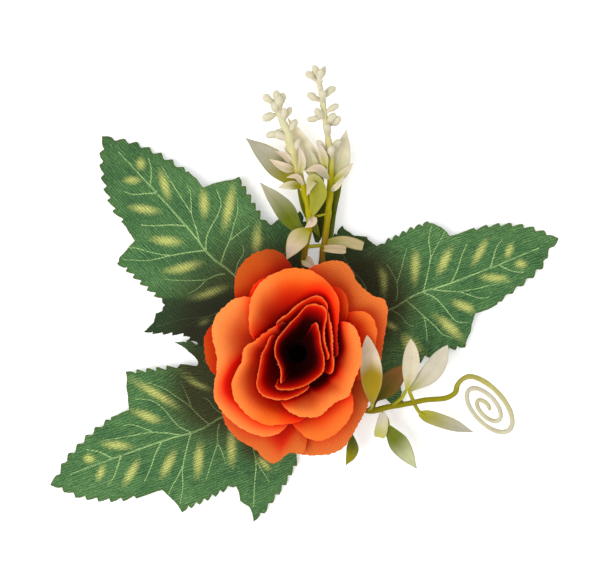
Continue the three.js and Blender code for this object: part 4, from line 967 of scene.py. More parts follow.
def leaf_cloth(sizes):
    """Ribbed polyester printed green, with pale veins and sprayed flecks, and painted shade by the rose,
    brown as if tinted by light reflected off it.
    """
    f = Finish("leaf cloth", Roughness=0.82, Sheen_Weight=0.15, Specular_IOR_Level=0.2)
    cloth = f.attribute("cloth", "Vector")
    u, v, _ = f.parts(cloth)
    print_names = ("vein", "fleck", "shade", "dark", "rim", "back")
    vein, fleck, shade, dark, rim, back = (f.attribute(name) for name in print_names)
    broad = f.grain(cloth, 0.07, 3)
    threads = f.grain(cloth, 0.9, 3, 0.7, stretch=(0.25, 1.7, 1))
    speckle = f.grain(cloth, 1.05, 3, 0.8)
    pitch = sizes.rib_pitch / MM
    wander = (f.grain(cloth, 0.3, 2) - 0.5) * 2.0
    across = ((v + wander) * (2 * math.pi / pitch)).maths("SINE")
    along = (u * (2 * math.pi / (pitch * 0.9))).maths("SINE")
    ribs = across * 0.42 + along * 0.14 + 0.5
    green = f.ramp((broad * 0.8 + threads * 1.1 - 0.45).clamp(), (
        (0.0, (30, 72, 52)), (0.45, (74, 120, 68)), (0.75, (100, 144, 84)), (1.0, (132, 168, 132))))
    worn = f.blend(speckle.step(0.56, 0.74) * 0.35, green, (140, 172, 124))
    hemmed = f.blend(rim.step(0.3, 1.0) * 0.6, worn, (92, 108, 40))
    spray = (fleck * 1.3 - 0.12 + (speckle - 0.5) * 0.5).clamp() * (ribs * 0.3 + 0.7)
    flecked = f.blend(spray * (1 - back * 0.8), hemmed, (216, 222, 124))
    print_line = (vein + (speckle - 0.5) * 0.25 + (ribs - 0.5) * 0.1).step(0.12, 0.6)
    veined = f.blend(print_line * (1 - back * 0.6) * 0.85, flecked, (172, 208, 132))
    kept = (1 - spray * 0.45) * (1 - print_line * 0.2)
    # Painted shade by the rose, brown as if tinted by the orange light reflected off it; flecks and veins
    # keep more of their colour.
    shaded = f.blend((shade * (broad * 0.5 + 0.75)).clamp() * kept * 0.86, veined, (52, 40, 6))
    backed = f.blend(back * 0.4, shaded, (112, 150, 112))
    # The ribs and speckle vary the colour: partly the threads' own tone, partly painted shade of the ribs'
    # relief.
    relief = (ribs * 0.8 + speckle * 1.5 - 1.1) * (1 - spray * 0.5) + 1
    # dark is painted shade on the lobe behind the fold, with a darkening towards the tip.
    worked = f.shaded(backed, relief.maths("MAXIMUM", 0.25) * (1 - dark * 0.55))
    height = ribs + speckle * 0.3 - vein * 0.8
    return f.finish(worked, speckle * 0.1 + 0.76, height, 0.07, glow=shaded, glow_share=0.06)


def sprig_plastic():
    """Soft moulded plastic, dipped in pale paint over the yellow green of the moulding."""
    f = Finish("sprig plastic", Roughness=0.46, Specular_IOR_Level=0.1)
    place = f.place()
    tint = f.attribute("tint", "Color")
    patches = f.grain(place, 260, 4)
    fine = f.grain(place, 1900, 2, 0.6)
    worked = f.shaded(tint, patches * 0.36 + fine * 0.14 + 0.76)
    return f.finish(worked, patches * 0.2 + 0.34, patches * 0.6 + fine * 0.4, 0.08)


def stem_plastic(name, light, dark, gloss=0.2):
    """Satin green plastic with moulding lines and a bloom of mould release; painted dark red shade where the
    stub reaches up into the rose's heart.
    """
    f = Finish(name, Roughness=0.5, Specular_IOR_Level=gloss)
    place = f.place()
    patches = f.grain(place, 220, 4)
    streaks = f.grain(place, 900, 3, 0.6, stretch=(1, 1, 0.3))
    colour = f.blend((patches * 0.8 + streaks * 0.4 - 0.1).clamp(), dark, light)
    # Painted shade: the part up in the rose's dark heart is painted dark red.
    dipped = f.blend(f.attribute("dip"), colour, (12, 0, 0))
    return f.finish(dipped, streaks * 0.2 + 0.4, patches * 0.5 + streaks * 0.5, 0.06)


def floral_tape():
    """Wound waxed crepe tape: fine creases across its width and darker overlaps."""
    f = Finish("floral tape", Roughness=0.72, Specular_IOR_Level=0.3)
    cloth = f.attribute("cloth", "Vector")
    _, across, _ = f.parts(cloth)
    creases = f.grain(cloth, 1.6, 4, 0.6, stretch=(3.2, 0.5, 1))
    patches = f.grain(cloth, 0.3, 3)
    overlap = across.step(0.0, 0.22)
    colour = f.blend((creases * 0.7 + patches * 0.4 - 0.1).clamp(), (48, 70, 38), (96, 128, 74))
    worked = f.shaded(colour, overlap * 0.3 + 0.7)
    return f.finish(worked, creases * 0.2 + 0.6, creases, 0.2)


def studio_paper(settings):
    """The pale sheet that the spray lies on, with a faint tooth."""
    f = Finish("studio paper", Roughness=0.9, Specular_IOR_Level=0.1, Emission_Color=(1, 1, 1, 1),
               Emission_Strength=settings.floor_glow)
    tooth = f.grain(f.place(), 700, 3)
    pale = f.add("ShaderNodeRGB")
    pale.socket.default_value = (*settings.floor_colour, 1)
    colour = f.shaded(pale, 1 - tooth * 0.02)
    return f.finish(colour, None, tooth, 0.03)


# ---------------------------------------------------------------- petals


def petal_reach(shape, degrees):
    """How much of its height a petal keeps at each place along its rim: all of it but at its ends."""
    first, last = shape["rim"][0][0], shape["rim"][-1][0]
    near, far = shape.get("shoulders", SHOULDERS)
    inward = np.clip(np.minimum((degrees - first) / near, (last - degrees) / far), 0, 1)
    return 1 - SHOULDER_DROP * (1 - np.sqrt(1 - (1 - inward) ** 2))


def cover_radius(ring, number, degrees):
    """How far out the petals that lie over this one reach, at each place round the rose."""
    own = curve_through(PETAL_RINGS[ring][1][number]["rim"], degrees)
    found = np.zeros(len(degrees))
    for other, (root, petals) in enumerate(PETAL_RINGS[:ring + 1]):
        for k, shape in enumerate(petals):
            if (other, k) == (ring, number):
                continue
            for turn in (-360, 0, 360):
                there = degrees + turn
                rim = np.array(shape["rim"], float)
                inside = (there >= rim[0, 0]) & (there <= rim[-1, 0])
                radius = curve_through(rim, np.clip(there, rim[0, 0], rim[-1, 0]))
                v = petal_reach(shape, there)
                low, high = PROFILES[other][0]
                shown = bezier(v, root, mix(root, radius, low), mix(root, radius, high), radius)
                over = inside & ((other < ring) | (radius < own - COVER_GAP))
                found = np.maximum(found, np.where(over, shown, 0))
    spread = max(1, int(round(COVER_BLUR / abs(degrees[1] - degrees[0]))))
    padded = np.pad(found, spread, mode="edge")
    return np.convolve(padded, np.ones(2 * spread + 1) / (2 * spread + 1), mode="valid")


def petal_surface(shape, root, hub, profile, cloth):
    """The middle of a petal as a grid of points, columns round the rose and rows up the petal."""
    rim = np.array(shape["rim"], float)
    first, last = rim[0, 0], rim[-1, 0]
    width = math.radians(last - first) * rim[:, 1].mean() * MM
    columns = max(FEWEST_COLUMNS, int(round(width / cloth.mesh_step)))
    degrees = np.linspace(first, last, columns + 1)
    radius = curve_through(rim, degrees)
    reach = petal_reach(shape, degrees)
    foot = along_rim(shape.get("foot", 0), degrees)
    v = foot + (reach[:, None] - foot) * (np.linspace(0, 1, cloth.rows + 1) ** ROW_CROWDING)[None]
    wave = RIM_WAVE * np.sin(np.radians(RIM_WAVES * degrees + 9 * len(rim)))[:, None] * v**3
    top = mix(*shape["height"], (degrees - first) / (last - first))[:, None] + wave
    wide = radius[:, None]
    reaches, rises = profile
    r = bezier(v, root, mix(root, wide, reaches[0]), mix(root, wide, reaches[1]), wide)
    z = bezier(v, hub, mix(hub, top, rises[0]), mix(hub, top, rises[1]), top)
    turn = np.radians(degrees)[:, None]
    return np.stack([r * np.cos(turn), r * np.sin(turn), z], -1), v, degrees


def add_petal(piece, ring, number, cloth, nicks):
    """One petal with its dye, and the line and outward direction of its cut edge."""
    root, petals = PETAL_RINGS[ring]
    shape = petals[number]
    seed = ring * 11 + number * 3 + 1
    middle, v, degrees = petal_surface(shape, root, HUB_LEVELS[ring], PROFILES[ring], cloth)
    steps = np.linalg.norm(np.diff(middle, axis=1), axis=2)
    height = np.concatenate([np.zeros((len(middle), 1)), np.cumsum(steps, axis=1)], axis=1)
    below_rim = height[:, -1:] - height
    up = unit(np.gradient(middle, axis=1))
    normal = unit(np.cross(np.gradient(middle, axis=1), np.gradient(middle, axis=0)))
    ripple = ripple_of(middle, PETAL_RIPPLE, seed, seed + 5) * smooth(v, *LOOSE) * cloth.ripple / MM
    worn = np.array([nicks.uniform(-1, 1) for _ in degrees])[:, None] * (v >= v[:, -1:] - 1e-6) * NICK
    middle = middle + normal * ripple[..., None] + up * worn[..., None]
    skin = normal * (cloth.thickness / MM / 2)
    turn = np.radians(degrees + shape.get("turn", 37 * ring + 11 * number))[:, None]
    weave = np.stack([height * np.cos(turn), height * np.sin(turn), np.full(height.shape, 20.0 * seed)], -1)
    lip = (1 - np.clip(below_rim / LIP, 0, 1)) * LIP_PALENESS[ring]
    # Painted shade under the petals that lie over this one, reaching further out by deep.
    cover = np.hypot(middle[..., 0], middle[..., 1]) - cover_radius(ring, number, degrees)[:, None]
    cover = (cover - along_rim(shape.get("deep", 0), degrees)) * shape.get("quick", 1)
    heart = np.minimum(curve_through(RIM_DYE_AND_SHADE[ring], below_rim), curve_through(COVER_SHADE[ring], cover))
    # light and shade along the rim: painted light and painted shade for this petal.
    light, shade = (np.broadcast_to(along_rim(value, degrees), v.shape)
                    for value in (shape["light"], shape.get("shade", 1)))
    piece.sheet(middle + skin, middle - skin, cloth=weave, lift=heart, edge=lip, light=light, shade=shade)
    return zip(middle[:, -1], unit(middle[:, -1] - middle[:, -2]))


def build_petal_ring(ring, cloth, material):
    """One die-cut ring of petals round its hub, and the cut edges that fray."""
    root, petals = PETAL_RINGS[ring]
    piece, edges = Piece(), []
    nicks = random.Random(NICK_SEED + ring)
    for number in range(len(petals)):
        edges += add_petal(piece, ring, number, cloth, nicks)
    low, high = HUB_LEVELS[ring] - HUB_THICKNESS / 2, HUB_LEVELS[ring] + HUB_THICKNESS / 2
    brim = root + HUB_BRIM
    hub = around(((HUB_HOLE, low), (brim, low), (brim, high), (HUB_HOLE, high)), HUB_SIDES)
    none = np.zeros(HUB_SIDES)
    piece.rings(hub, closed=True, cloth=np.zeros((HUB_SIDES, 3)), lift=none, edge=none, light=none,
                shade=none + 1)
    settle(piece.build(f"rose_petals_{ring + 1}", material), "petal_cloth", f"petal_ring_{ring + 1}")
    return edges


# ---------------------------------------------------------------- leaves


def cut_edge(edges, side):
    """One side of the leaf's outline, from the tip back to the sinus, with rounded teeth."""
    outline, start = [], np.array(LEAF_TIP, float)
    for end, bulge, teeth, *leaning in edges:
        end = np.array(end, float)
        chord = end - start
        outward = np.array([chord[1], -chord[0]]) / np.linalg.norm(chord) * side
        steps = teeth if teeth else max(1, int(np.linalg.norm(chord) / STRAIGHT_STEP))
        for k in range(steps):
            tooth, point = (LATE_TOOTH, LATE_POINT) if leaning else (TOOTH, POINT)
            shape = (tooth if k else point) if teeth else ((1.0, 0),)
            for s, depth in shape:
                t = (k + s) / steps
                edge = start + chord * t + outward * 4 * bulge * t * (1 - t)
                outline.append(edge - outward * TOOTH_DEPTH * depth)
        start = end
    return outline


def print_veins(points, lines):
    """How near each point is to the middle of a printed vein, from 0 to 1."""
    vein = np.zeros(len(points))
    for line, widths in lines:
        for a, b, width in zip(line, line[1:], widths):
            chord = b - a
            t = np.clip(((points - a) @ chord) / (chord @ chord), 0, 1)
            gap = np.linalg.norm(points - a - t[:, None] * chord, axis=1)
            vein = np.maximum(vein, 1 - gap / width / VEIN_FADE)
    return vein


def print_flecks(points):
    fleck = np.zeros(len(points))
    for x, y, angle, length, width in FLECKS:
        turn = math.radians(angle)
        dx, dy = points[:, 0] - x, points[:, 1] - y
        p = dx * math.cos(turn) + dy * math.sin(turn)
        q = -dx * math.sin(turn) + dy * math.cos(turn)
        fleck = np.maximum(fleck, np.exp(-FLECK_FADE * ((p / length) ** 2 + (q / width) ** 2)))
    return fleck


def leaf_drawing():
    """The flat leaf in drawing units: points, triangles, border edges, and the print at each point."""
    rough = [np.array(LEAF_TIP, float), *cut_edge(LEFT_EDGES, 1), *cut_edge(RIGHT_EDGES, -1)[-2::-1]]
    dice = random.Random(EDGE_SEED)
    loop = resample(np.array([*rough, rough[0]]), EDGE_STEP)[:-1]
    loop = loop + np.array([[dice.uniform(-1, 1), dice.uniform(-1, 1)] for _ in loop]) * EDGE_JITTER
    rails, lines = [], []
    for (start_width, end_width), points in VEINS:
        line = resample(smooth_path([(*p, 0) for p in points], 0.5)[:, :2], VEIN_STEP)
        widths = np.linspace(start_width, end_width, len(line))
        lines.append((line, widths))
        across = unit(np.gradient(line, axis=0))[:, ::-1] * (1, -1)
        rails += [line, line + across * widths[:, None], line - across * widths[:, None]]
    fixed = np.concatenate([loop, *rails])
    xs, ys = (np.arange(low, high, step) for low, high, step in zip(loop.min(0), loop.max(0), GRID_STEP))
    grid = np.array([(x + GRID_STEP[0] / 2 * (row % 2), y) for row, y in enumerate(ys) for x in xs])
    near = np.array([np.min(np.sum((fixed - p) ** 2, axis=1)) for p in grid])
    corners = [Vector(p) for p in np.concatenate([fixed, grid[near > GRID_GAP**2]])]
    result = delaunay_2d_cdt(corners, [], [list(range(len(loop)))], 1, 1e-5)
    used = sorted({k for face in result[2] for k in face})
    place = {k: number for number, k in enumerate(used)}
    points = np.array([tuple(result[0][k]) for k in used])
    faces = [[place[k] for k in face] for face in result[2]]
    edges = {edge for face in faces for edge in zip(face, face[1:] + face[:1])}
    border = [(a, b) for a, b in edges if (b, a) not in edges]
    rim = np.array([1 - min(1, np.min(np.linalg.norm(loop - p, axis=1)) / HEM) for p in points])
    return points, faces, border, dict(vein=print_veins(points, lines), fleck=print_flecks(points), rim=rim)


def bend_outline(leaf, points):
    """Where points of the flat drawing lie on the bent leaf, still in drawing units."""
    x, y = points[:, 0], points[:, 1]
    right = (y <= 0).astype(int)
    shifts = np.array(leaf["shifts"], float)[right]
    gather = np.array(leaf["gather"], float)[right]
    outer = smooth(np.abs(y), *OUTER)
    back = smooth(-x, *BACK)[:, None]
    move = mix(shifts[:, 0], shifts[:, 1], back)
    behind = np.maximum(0, mix(*GATHER_FROM, np.abs(y) / GATHER_SIDE) - x)
    nudges = [curve_through(pairs, x) for pairs in leaf["nudges"]]
    nudge = np.where(y > 0, nudges[0], -nudges[1])
    bent = np.stack([x + outer * (move[:, 0] + gather * behind), y + outer * (move[:, 1] + nudge)], -1)
    pulls = np.array(leaf["pulls"], float)
    share = np.exp(-(np.linalg.norm(points[:, None] - pulls[None, :, :2], axis=2) / PULL_REACH) ** 2)
    return bent + share @ pulls[:, 2:] / (share.sum(axis=1, keepdims=True) + PULL_EASE)


def leaf_height(leaf, x, y):
    heights = leaf["heights"]
    along = np.clip(np.asarray(x) / leaf["unit"], heights[0][0], heights[-1][0])
    droop = LEAF_DROOP * (np.abs(y) / LEAF_HALF) ** LEAF_DROOP_POWER
    return np.maximum(LEAF_REST, curve_through(heights, along) - droop)


def leaf_place(leaf, x, y, z):
    """A point of a leaf's own frame in the spray."""
    turn = math.radians(leaf["heading"])
    return np.stack([leaf["at"][0] + x * math.cos(turn) - y * math.sin(turn),
                     leaf["at"][1] + x * math.sin(turn) + y * math.cos(turn), z], -1)


def build_leaf(name, drawing, cloth, material):
    """A cut and printed leaf, and its cut edge where a thread has room above the floor."""
    leaf = LEAVES[name]
    flat, faces, border, prints = drawing
    x, y = (bend_outline(leaf, flat) * leaf["unit"]).T
    seed = LEAF_SEED + list(LEAVES).index(name)
    spread = np.stack([x, y, np.zeros(len(x))], -1)
    z = leaf_height(leaf, x, y) + ripple_of(spread, LEAF_RIPPLE, seed, seed + 9) * cloth.ripple / MM
    z = np.maximum(z - prints["vein"] * VEIN_DEPTH, cloth.thickness / MM / 2)
    middle = leaf_place(leaf, x, y, z)
    half = np.array([0, 0, cloth.thickness / MM / 2])
    count = len(middle)
    # Painted shade near the rose, full within the first radius of each spot.
    shade = np.max([1 - smooth(np.hypot(middle[:, 0] - spot_x, middle[:, 1] - spot_y), near, far)
                    for spot_x, spot_y, near, far in leaf["rose_shade_spots"]], axis=0)
    # Painted shade on the lobe behind the fold, and a darkening towards the tip.
    fold = (flat[:, 0] - FOLD[0]) * FOLD[2] + (flat[:, 1] - FOLD[1]) * FOLD[3]
    dark = np.maximum(leaf["lobe_shade"] * smooth(fold, *FOLD_SHADE),
                      leaf["dark_tip"] * smooth(flat[:, 0], *TIP_SHADE))
    weave = np.stack([flat[:, 0] * leaf["unit"], flat[:, 1] * leaf["unit"], np.full(count, seed * 9.0)], -1)
    values = dict(prints, cloth=weave, shade=shade, dark=dark)
    both = {key: np.concatenate([value, value]) for key, value in values.items()}
    sides = [*faces, *[[k + count for k in face[::-1]] for face in faces]]
    sides += [(a, a + count, b + count, b) for a, b in border]
    piece = Piece()
    piece.add(np.concatenate([middle + half, middle - half]), sides, back=np.repeat([0, 1], count), **both)
    settle(piece.build(name.replace("_leaf", "_printed_leaf"), material, sharp=60), "leaf_cloth", name)
    edges = []
    for a, b in sorted(border):
        along = middle[b] - middle[a]
        if middle[a][2] > cloth.thread_length / MM:
            edges.append((middle[a], unit(np.array([along[1], -along[0], 0.0]))))
    return edges


def socket_points(socket):
    heading, level = socket
    turn = math.radians(heading)
    return [(r * math.cos(turn), r * math.sin(turn), level) for r in SOCKET_START]


def build_leaf_stem(name, material):
    leaf = LEAVES[name]
    x, y = np.array(LEAF_STEM_ROUTE, float).T * leaf["unit"]
    z = leaf_height(leaf, x, y) - LEAF_STEM_DEPTH
    route = [*socket_points(leaf["socket"]), *leaf_place(leaf, x, y, z)]
    line = smooth_path(route, LEAF_STEM_STEP)
    radii = np.linspace(LEAF_STEM_RADIUS, LEAF_STEM_RADIUS * LEAF_STEM_TAPER, len(line))
    radii[-3:] *= LEAF_STEM_END
    piece = Piece()
    piece.tube(line, radii, LEAF_STEM_SIDES)
    settle(piece.build(name.replace("_leaf", "_moulded_rib"), material), "stem_plastic", f"{name}_stem")


# ---------------------------------------------------------------- moulded sprigs


def add_blade(piece, blade, seed):
    """A pointed moulded leaf: a shallow trough with a rib along its middle and thinned edges."""
    line = smooth_path(blade.points, BLADE_STEP)
    tangents = unit(np.gradient(line, axis=0))
    across = unit(np.cross((0, 0, 1), tangents))
    up = np.cross(tangents, across)
    t = np.linspace(0, 1, len(line))[:, None]
    s = np.linspace(-1, 1, BLADE_LANES)[None]
    share = np.clip(curve_through(blade.stations, t), BLADE_LEAST_SHARE, 1)
    half = np.maximum(blade.width * share / 2, np.where(t < 0.5, *BLADE_LEAST_HALF))
    trough = BLADE_TROUGH * share * np.abs(s) ** BLADE_TROUGH_POWER
    dip = trough - BLADE_RIB * np.exp(-((s / BLADE_RIB_WIDTH) ** 2)) * share
    curl = BLADE_CURL * share * wobble(line, BLADE_CURL_WAVE, seed)[:, None] * s
    thinned = 1 - BLADE_THINNING * np.abs(s) ** BLADE_THINNING_POWER
    skin = SPRIG_LEAF_THICKNESS / 2 * thinned * np.clip(BLADE_TAPER[0] - t, BLADE_TAPER[1], 1)
    middle = line[:, None] + across[:, None] * (s * half)[..., None] + up[:, None] * (dip + curl)[..., None]
    skin = up[:, None] * skin[..., None]
    base, tip, edge = (np.array(linear(colour)) for colour in (blade.base, blade.tip, blade.edge))
    border = blade.border + BLADE_BORDER_BOW[0] * np.cos(s * BLADE_BORDER_BOW[1]) + 0 * t
    toward_tip = smooth(t, border - blade.soft, border + blade.soft)[..., None]
    by_edge = BLADE_EDGE_TINT * smooth(np.abs(s) + 0 * t, *BLADE_EDGE_BAND)[..., None]
    by_rib = (BLADE_RIB_TINT * np.exp(-((s / BLADE_RIB_BAND) ** 2)) * (1 - t))[..., None]
    tint = mix(base, tip, toward_tip)
    tint = mix(tint, edge, by_edge * (BLADE_EDGE_AT_FOOT + (1 - BLADE_EDGE_AT_FOOT) * toward_tip))
    tint = mix(tint, base, by_rib)
    tint = np.concatenate([tint, np.ones((*tint.shape[:2], 1))], -1).reshape(-1, 4)
    piece.sheet(middle + skin, middle - skin, tint=tint)


def add_stem(piece, points, start, end, colours, step=0.6, knots=0.0, seed=1, swell=(0.5, 0)):
    """A round moulded stem with slight knots. Its colours run along it; swell is (where, how much)."""
    line = smooth_path(points, step)
    t = np.linspace(0, 1, len(line))
    radii = mix(start, end, t) * (1 + knots * wobble(line, KNOT_SPACING, seed))
    radii *= 1 + swell[1] * np.exp(-(((t - swell[0]) / SWELL_SPREAD) ** 2))
    radii[-3:] *= STEM_END
    places = np.linspace(0, 1, len(colours))
    tint = np.stack([np.interp(t, places, [linear(c)[k] for c in colours]) for k in range(3)], -1)
    piece.tube(line, radii, STEM_SIDES, tint=np.concatenate([tint, np.ones((len(t), 1))], 1))


def coil_points():
    heading, lean = math.radians(COIL_HEADING), math.radians(COIL_LEAN)
    long = np.array([math.cos(heading), math.sin(heading), 0])
    wide = np.array([-long[1] * math.cos(lean), long[0] * math.cos(lean), math.sin(lean)])
    steps = round((COIL_TURNS - COIL_FROM) * COIL_STEPS_PER_TURN)
    points = []
    for k in range(steps + 1):
        turns = mix(COIL_FROM, COIL_TURNS, k / steps)
        radius, angle = COIL_RADIUS - COIL_PITCH * turns, 2 * math.pi * turns
        points.append(np.array(COIL_CENTRE) - long * radius * math.cos(angle)
                      + wide * (radius * math.sin(angle) - COIL_DRIFT * turns))
    return points


def growth_tree(name, **kinds):
    """A geometry node tree whose inputs have the given kinds: its builder and the wires of its inputs."""
    tree = bpy.data.node_groups.new(name, "GeometryNodeTree")
    n = Tree(tree)
    for label, kind in {"Geometry": "Geometry", **kinds}.items():
        tree.interface.new_socket(label.replace("_", " "), in_out="INPUT", socket_type=f"NodeSocket{kind}")
    tree.interface.new_socket("Geometry", in_out="OUTPUT", socket_type="NodeSocketGeometry")
    return n, {socket.name: Wire(n, socket) for socket in tree.nodes.new("NodeGroupInput").outputs}


def end_tree(n, geometry, material):
    """Makes the grown things plain geometry of one material, and closes the tree."""
    dressed = n.add("GeometryNodeSetMaterial", {}, geometry, Material=material)
    n.add("NodeGroupOutput", {}, dressed)
    return n.tree


def grown(points, vectors, tree, inputs, name):
    """The plain mesh that a node tree grows on points, in millimetres, with a value or vector at each."""
    mesh = bpy.data.meshes.new("carrier")
    mesh.from_pydata([tuple(np.asarray(p) * MM) for p in points], [], [])
    for key, values in vectors.items():
        set_values(mesh, key, np.array(values, np.float32).reshape(len(points), -1))
    carrier = linked("carrier", mesh)
    modifier = carrier.modifiers.new("Growth", "NODES")
    modifier.node_group = tree
    for socket in tree.interface.items_tree:
        if socket.in_out == "INPUT" and socket.name in inputs:
            modifier[socket.identifier] = inputs[socket.name]
    graph = bpy.context.evaluated_depsgraph_get()
    plain = bpy.data.meshes.new_from_object(carrier.evaluated_get(graph), depsgraph=graph)
    bpy.data.objects.remove(carrier)
    plain.name = name
    turn_outwards(plain)
    return linked(name, plain)


BUD_ROOT_STEP = 0.3
BUD_SHAPE = ((0, 0.42), (0.22, 0.5), (0.5, 0.88), (0.74, 1.0), (0.9, 0.84), (1.0, 0.42))
BUD_RINGS = 9
BUD_PLUMPNESS = (0.85, 1.15)
BUD_LUMPS = 0.0016
BUD_LUMP_SCALE = 420.0


def bud_roots(spike, tips, length):
    """Where on its spike each bud starts, so that it is as long as the others, with its tip."""
    line = smooth_path(spike, BUD_ROOT_STEP)
    found = []
    for tip in np.array(tips, float):
        gaps = np.linalg.norm(line - tip, axis=1)
        root = int(np.argmin(gaps))
        while root > 0 and gaps[root] < length:
            root -= 1
        found.append((line[root], tip))
    return found


def bud_tree(material):
    """Geometry nodes that set a club-shaped bud on each point, aimed and sized by the point's values."""
    n, inputs = growth_tree("Bud whorls", Bud_radius="Float", Sides="Int", Seed="Int")
    line = n.add("GeometryNodeCurvePrimitiveLine", {}, (0, 0, 0), (0, 0, 1))
    line = n.add("GeometryNodeResampleCurve", {}, line, Count=BUD_RINGS)
    place = n.add("GeometryNodeSplineParameter")
    swell = n.add("ShaderNodeFloatCurve", {"stops": BUD_SHAPE}, 1.0, place)
    ring = n.add("GeometryNodeCurvePrimitiveCircle", {}, inputs["Sides"], inputs["Bud radius"])
    bud = n.add("GeometryNodeCurveToMesh", {}, line, ring, Scale=swell, Fill_Caps=True)
    along = n.add("GeometryNodeStoreNamedAttribute", {"data_type": "FLOAT", "domain": "POINT"}, bud,
                  Name="ripe", Value=place)
    aim = n.add("GeometryNodeInputNamedAttribute", {"data_type": "FLOAT_VECTOR"}, "aim")
    length = n.add("GeometryNodeInputNamedAttribute", {"data_type": "FLOAT"}, "length")
    turn = n.add("FunctionNodeAlignRotationToVector", {"axis": "Z"}, Vector=aim)
    plump = n.add("FunctionNodeRandomValue", {"data_type": "FLOAT"}, *BUD_PLUMPNESS, Seed=inputs["Seed"])
    size = n.add("ShaderNodeCombineXYZ", {}, plump, plump, length)
    placed = n.add("GeometryNodeInstanceOnPoints", {}, inputs["Geometry"], Instance=along, Rotation=turn,
                   Scale=size)
    solid = n.add("GeometryNodeRealizeInstances", {}, placed)
    lumps = n.add("ShaderNodeTexNoise", {}, n.add("GeometryNodeInputPosition"), Scale=BUD_LUMP_SCALE,
                  Detail=1.0)
    normal = n.add("GeometryNodeInputNormal")
    swollen = n.add("ShaderNodeVectorMath", {"operation": "SCALE"}, normal, Scale=(lumps - 0.5) * BUD_LUMPS)
    lumpy = n.add("GeometryNodeSetPosition", {}, solid, Offset=swollen)
    return end_tree(n, n.add("GeometryNodeSetShadeSmooth", {}, lumpy), material)


def bud_plastic():
    """The sprig's plastic on the buds: cream, greener at the foot and greyish at the tip."""
    f = Finish("bud plastic", Roughness=0.42, Specular_IOR_Level=0.3, Subsurface_Weight=0.1,
               Subsurface_Radius=(1.0, 0.8, 0.4), Subsurface_Scale=0.002)
    ripe = f.attribute("ripe")
    patches = f.grain(f.place(), 300, 4)
    fine = f.grain(f.place(), 2200, 2, 0.6)
    colour = f.ramp((ripe + (patches - 0.5) * 0.3).clamp(), (
        (0.0, (238, 230, 198)), (0.4, (248, 244, 236)), (0.78, (246, 240, 236)), (1.0, (210, 204, 204))))
    worked = f.shaded(colour, patches * 0.16 + fine * 0.08 + 0.88)
    return f.finish(worked, patches * 0.2 + 0.34, patches * 0.6 + fine * 0.4, 0.08)


# ---------------------------------------------------------------- frayed threads


# A thread's bend, as it sticks out along z, and how far it may turn from that, in radians.
THREAD_BEND = ((0, 0, -0.3), (0.1, 0, 0.5), (0.45, 0.1, 1))
THREAD_STRAY = ((-0.8, -0.8, -3.1), (0.8, 0.8, 3.1))
THREAD_TAPER_FROM = 1.15
THREAD_REACH = (0.35, 1.0)


def thread_tree(material):
    """Geometry nodes that leave a bent loose thread on some of the points along a cut edge."""
    n, inputs = growth_tree("Frayed threads", Thread_radius="Float", Thread_length="Float",
                            Share_of_points="Float", Seed="Int")
    bent = n.add("GeometryNodeCurveQuadraticBezier", {}, 4, *THREAD_BEND)
    ring = n.add("GeometryNodeCurvePrimitiveCircle", {}, 4, 1.0)
    place = n.add("GeometryNodeSplineParameter")
    taper = (THREAD_TAPER_FROM - place) * inputs["Thread radius"]
    scaled = n.add("GeometryNodeCurveToMesh", {}, bent, ring, Scale=taper / inputs["Thread length"],
                   Fill_Caps=True)
    outward = n.add("GeometryNodeInputNamedAttribute", {"data_type": "FLOAT_VECTOR"}, "outward")
    kept = n.add("FunctionNodeRandomValue", {"data_type": "BOOLEAN"}, inputs["Share of points"],
                 Seed=inputs["Seed"])
    stray = n.add("FunctionNodeRandomValue", {"data_type": "FLOAT_VECTOR"}, *THREAD_STRAY,
                  Seed=inputs["Seed"])
    reach = n.add("FunctionNodeRandomValue", {"data_type": "FLOAT"}, *THREAD_REACH, Seed=inputs["Seed"])
    aimed = n.add("FunctionNodeAlignRotationToVector", {"axis": "Z"}, Vector=outward)
    strayed = n.add("FunctionNodeEulerToRotation", {}, stray)
    turned = n.add("FunctionNodeRotateRotation", {"rotation_space": "LOCAL"}, aimed, strayed)
    placed = n.add("GeometryNodeInstanceOnPoints", {}, inputs["Geometry"], Selection=kept, Instance=scaled,
                   Rotation=turned, Scale=reach * inputs["Thread length"])
    return end_tree(n, n.add("GeometryNodeRealizeInstances", {}, placed), material)


def thread_finish(name, dark, light):
    """Loose threads of the cloth's own dye."""
    f = Finish(name, Roughness=0.8, Sheen_Weight=0.2, Specular_IOR_Level=0.2)
    dye = f.grain(f.place(), 1200, 2)
    colour = f.blend(dye.step(0.3, 0.7), dark, light)
    return f.finish(colour, dye * 0.2 + 0.7)


def build_threads(name, edges, cloth, material, slot, seed):
    spots, outward = zip(*edges)
    inputs = {"Thread radius": cloth.thread_radius, "Thread length": cloth.thread_length,
              "Share of points": cloth.thread_share, "Seed": seed}
    settle(grown(spots, {"outward": outward}, thread_tree(material), inputs, name), slot)


# ---------------------------------------------------------------- stub, calyx and tape


def build_stub(material):
    piece = Piece()
    rings = around(STUB_PROFILE, STUB_SIDES)
    # The top of the stub, up in the rose's heart, is painted dark red as shade.
    piece.rings(rings, closed=True, dip=smooth(rings[..., 2].ravel(), *STUB_HEART_SHADE))
    settle(piece.build("cut_stub_and_peg", material, sharp=40), "stem_plastic", "rose_stem")


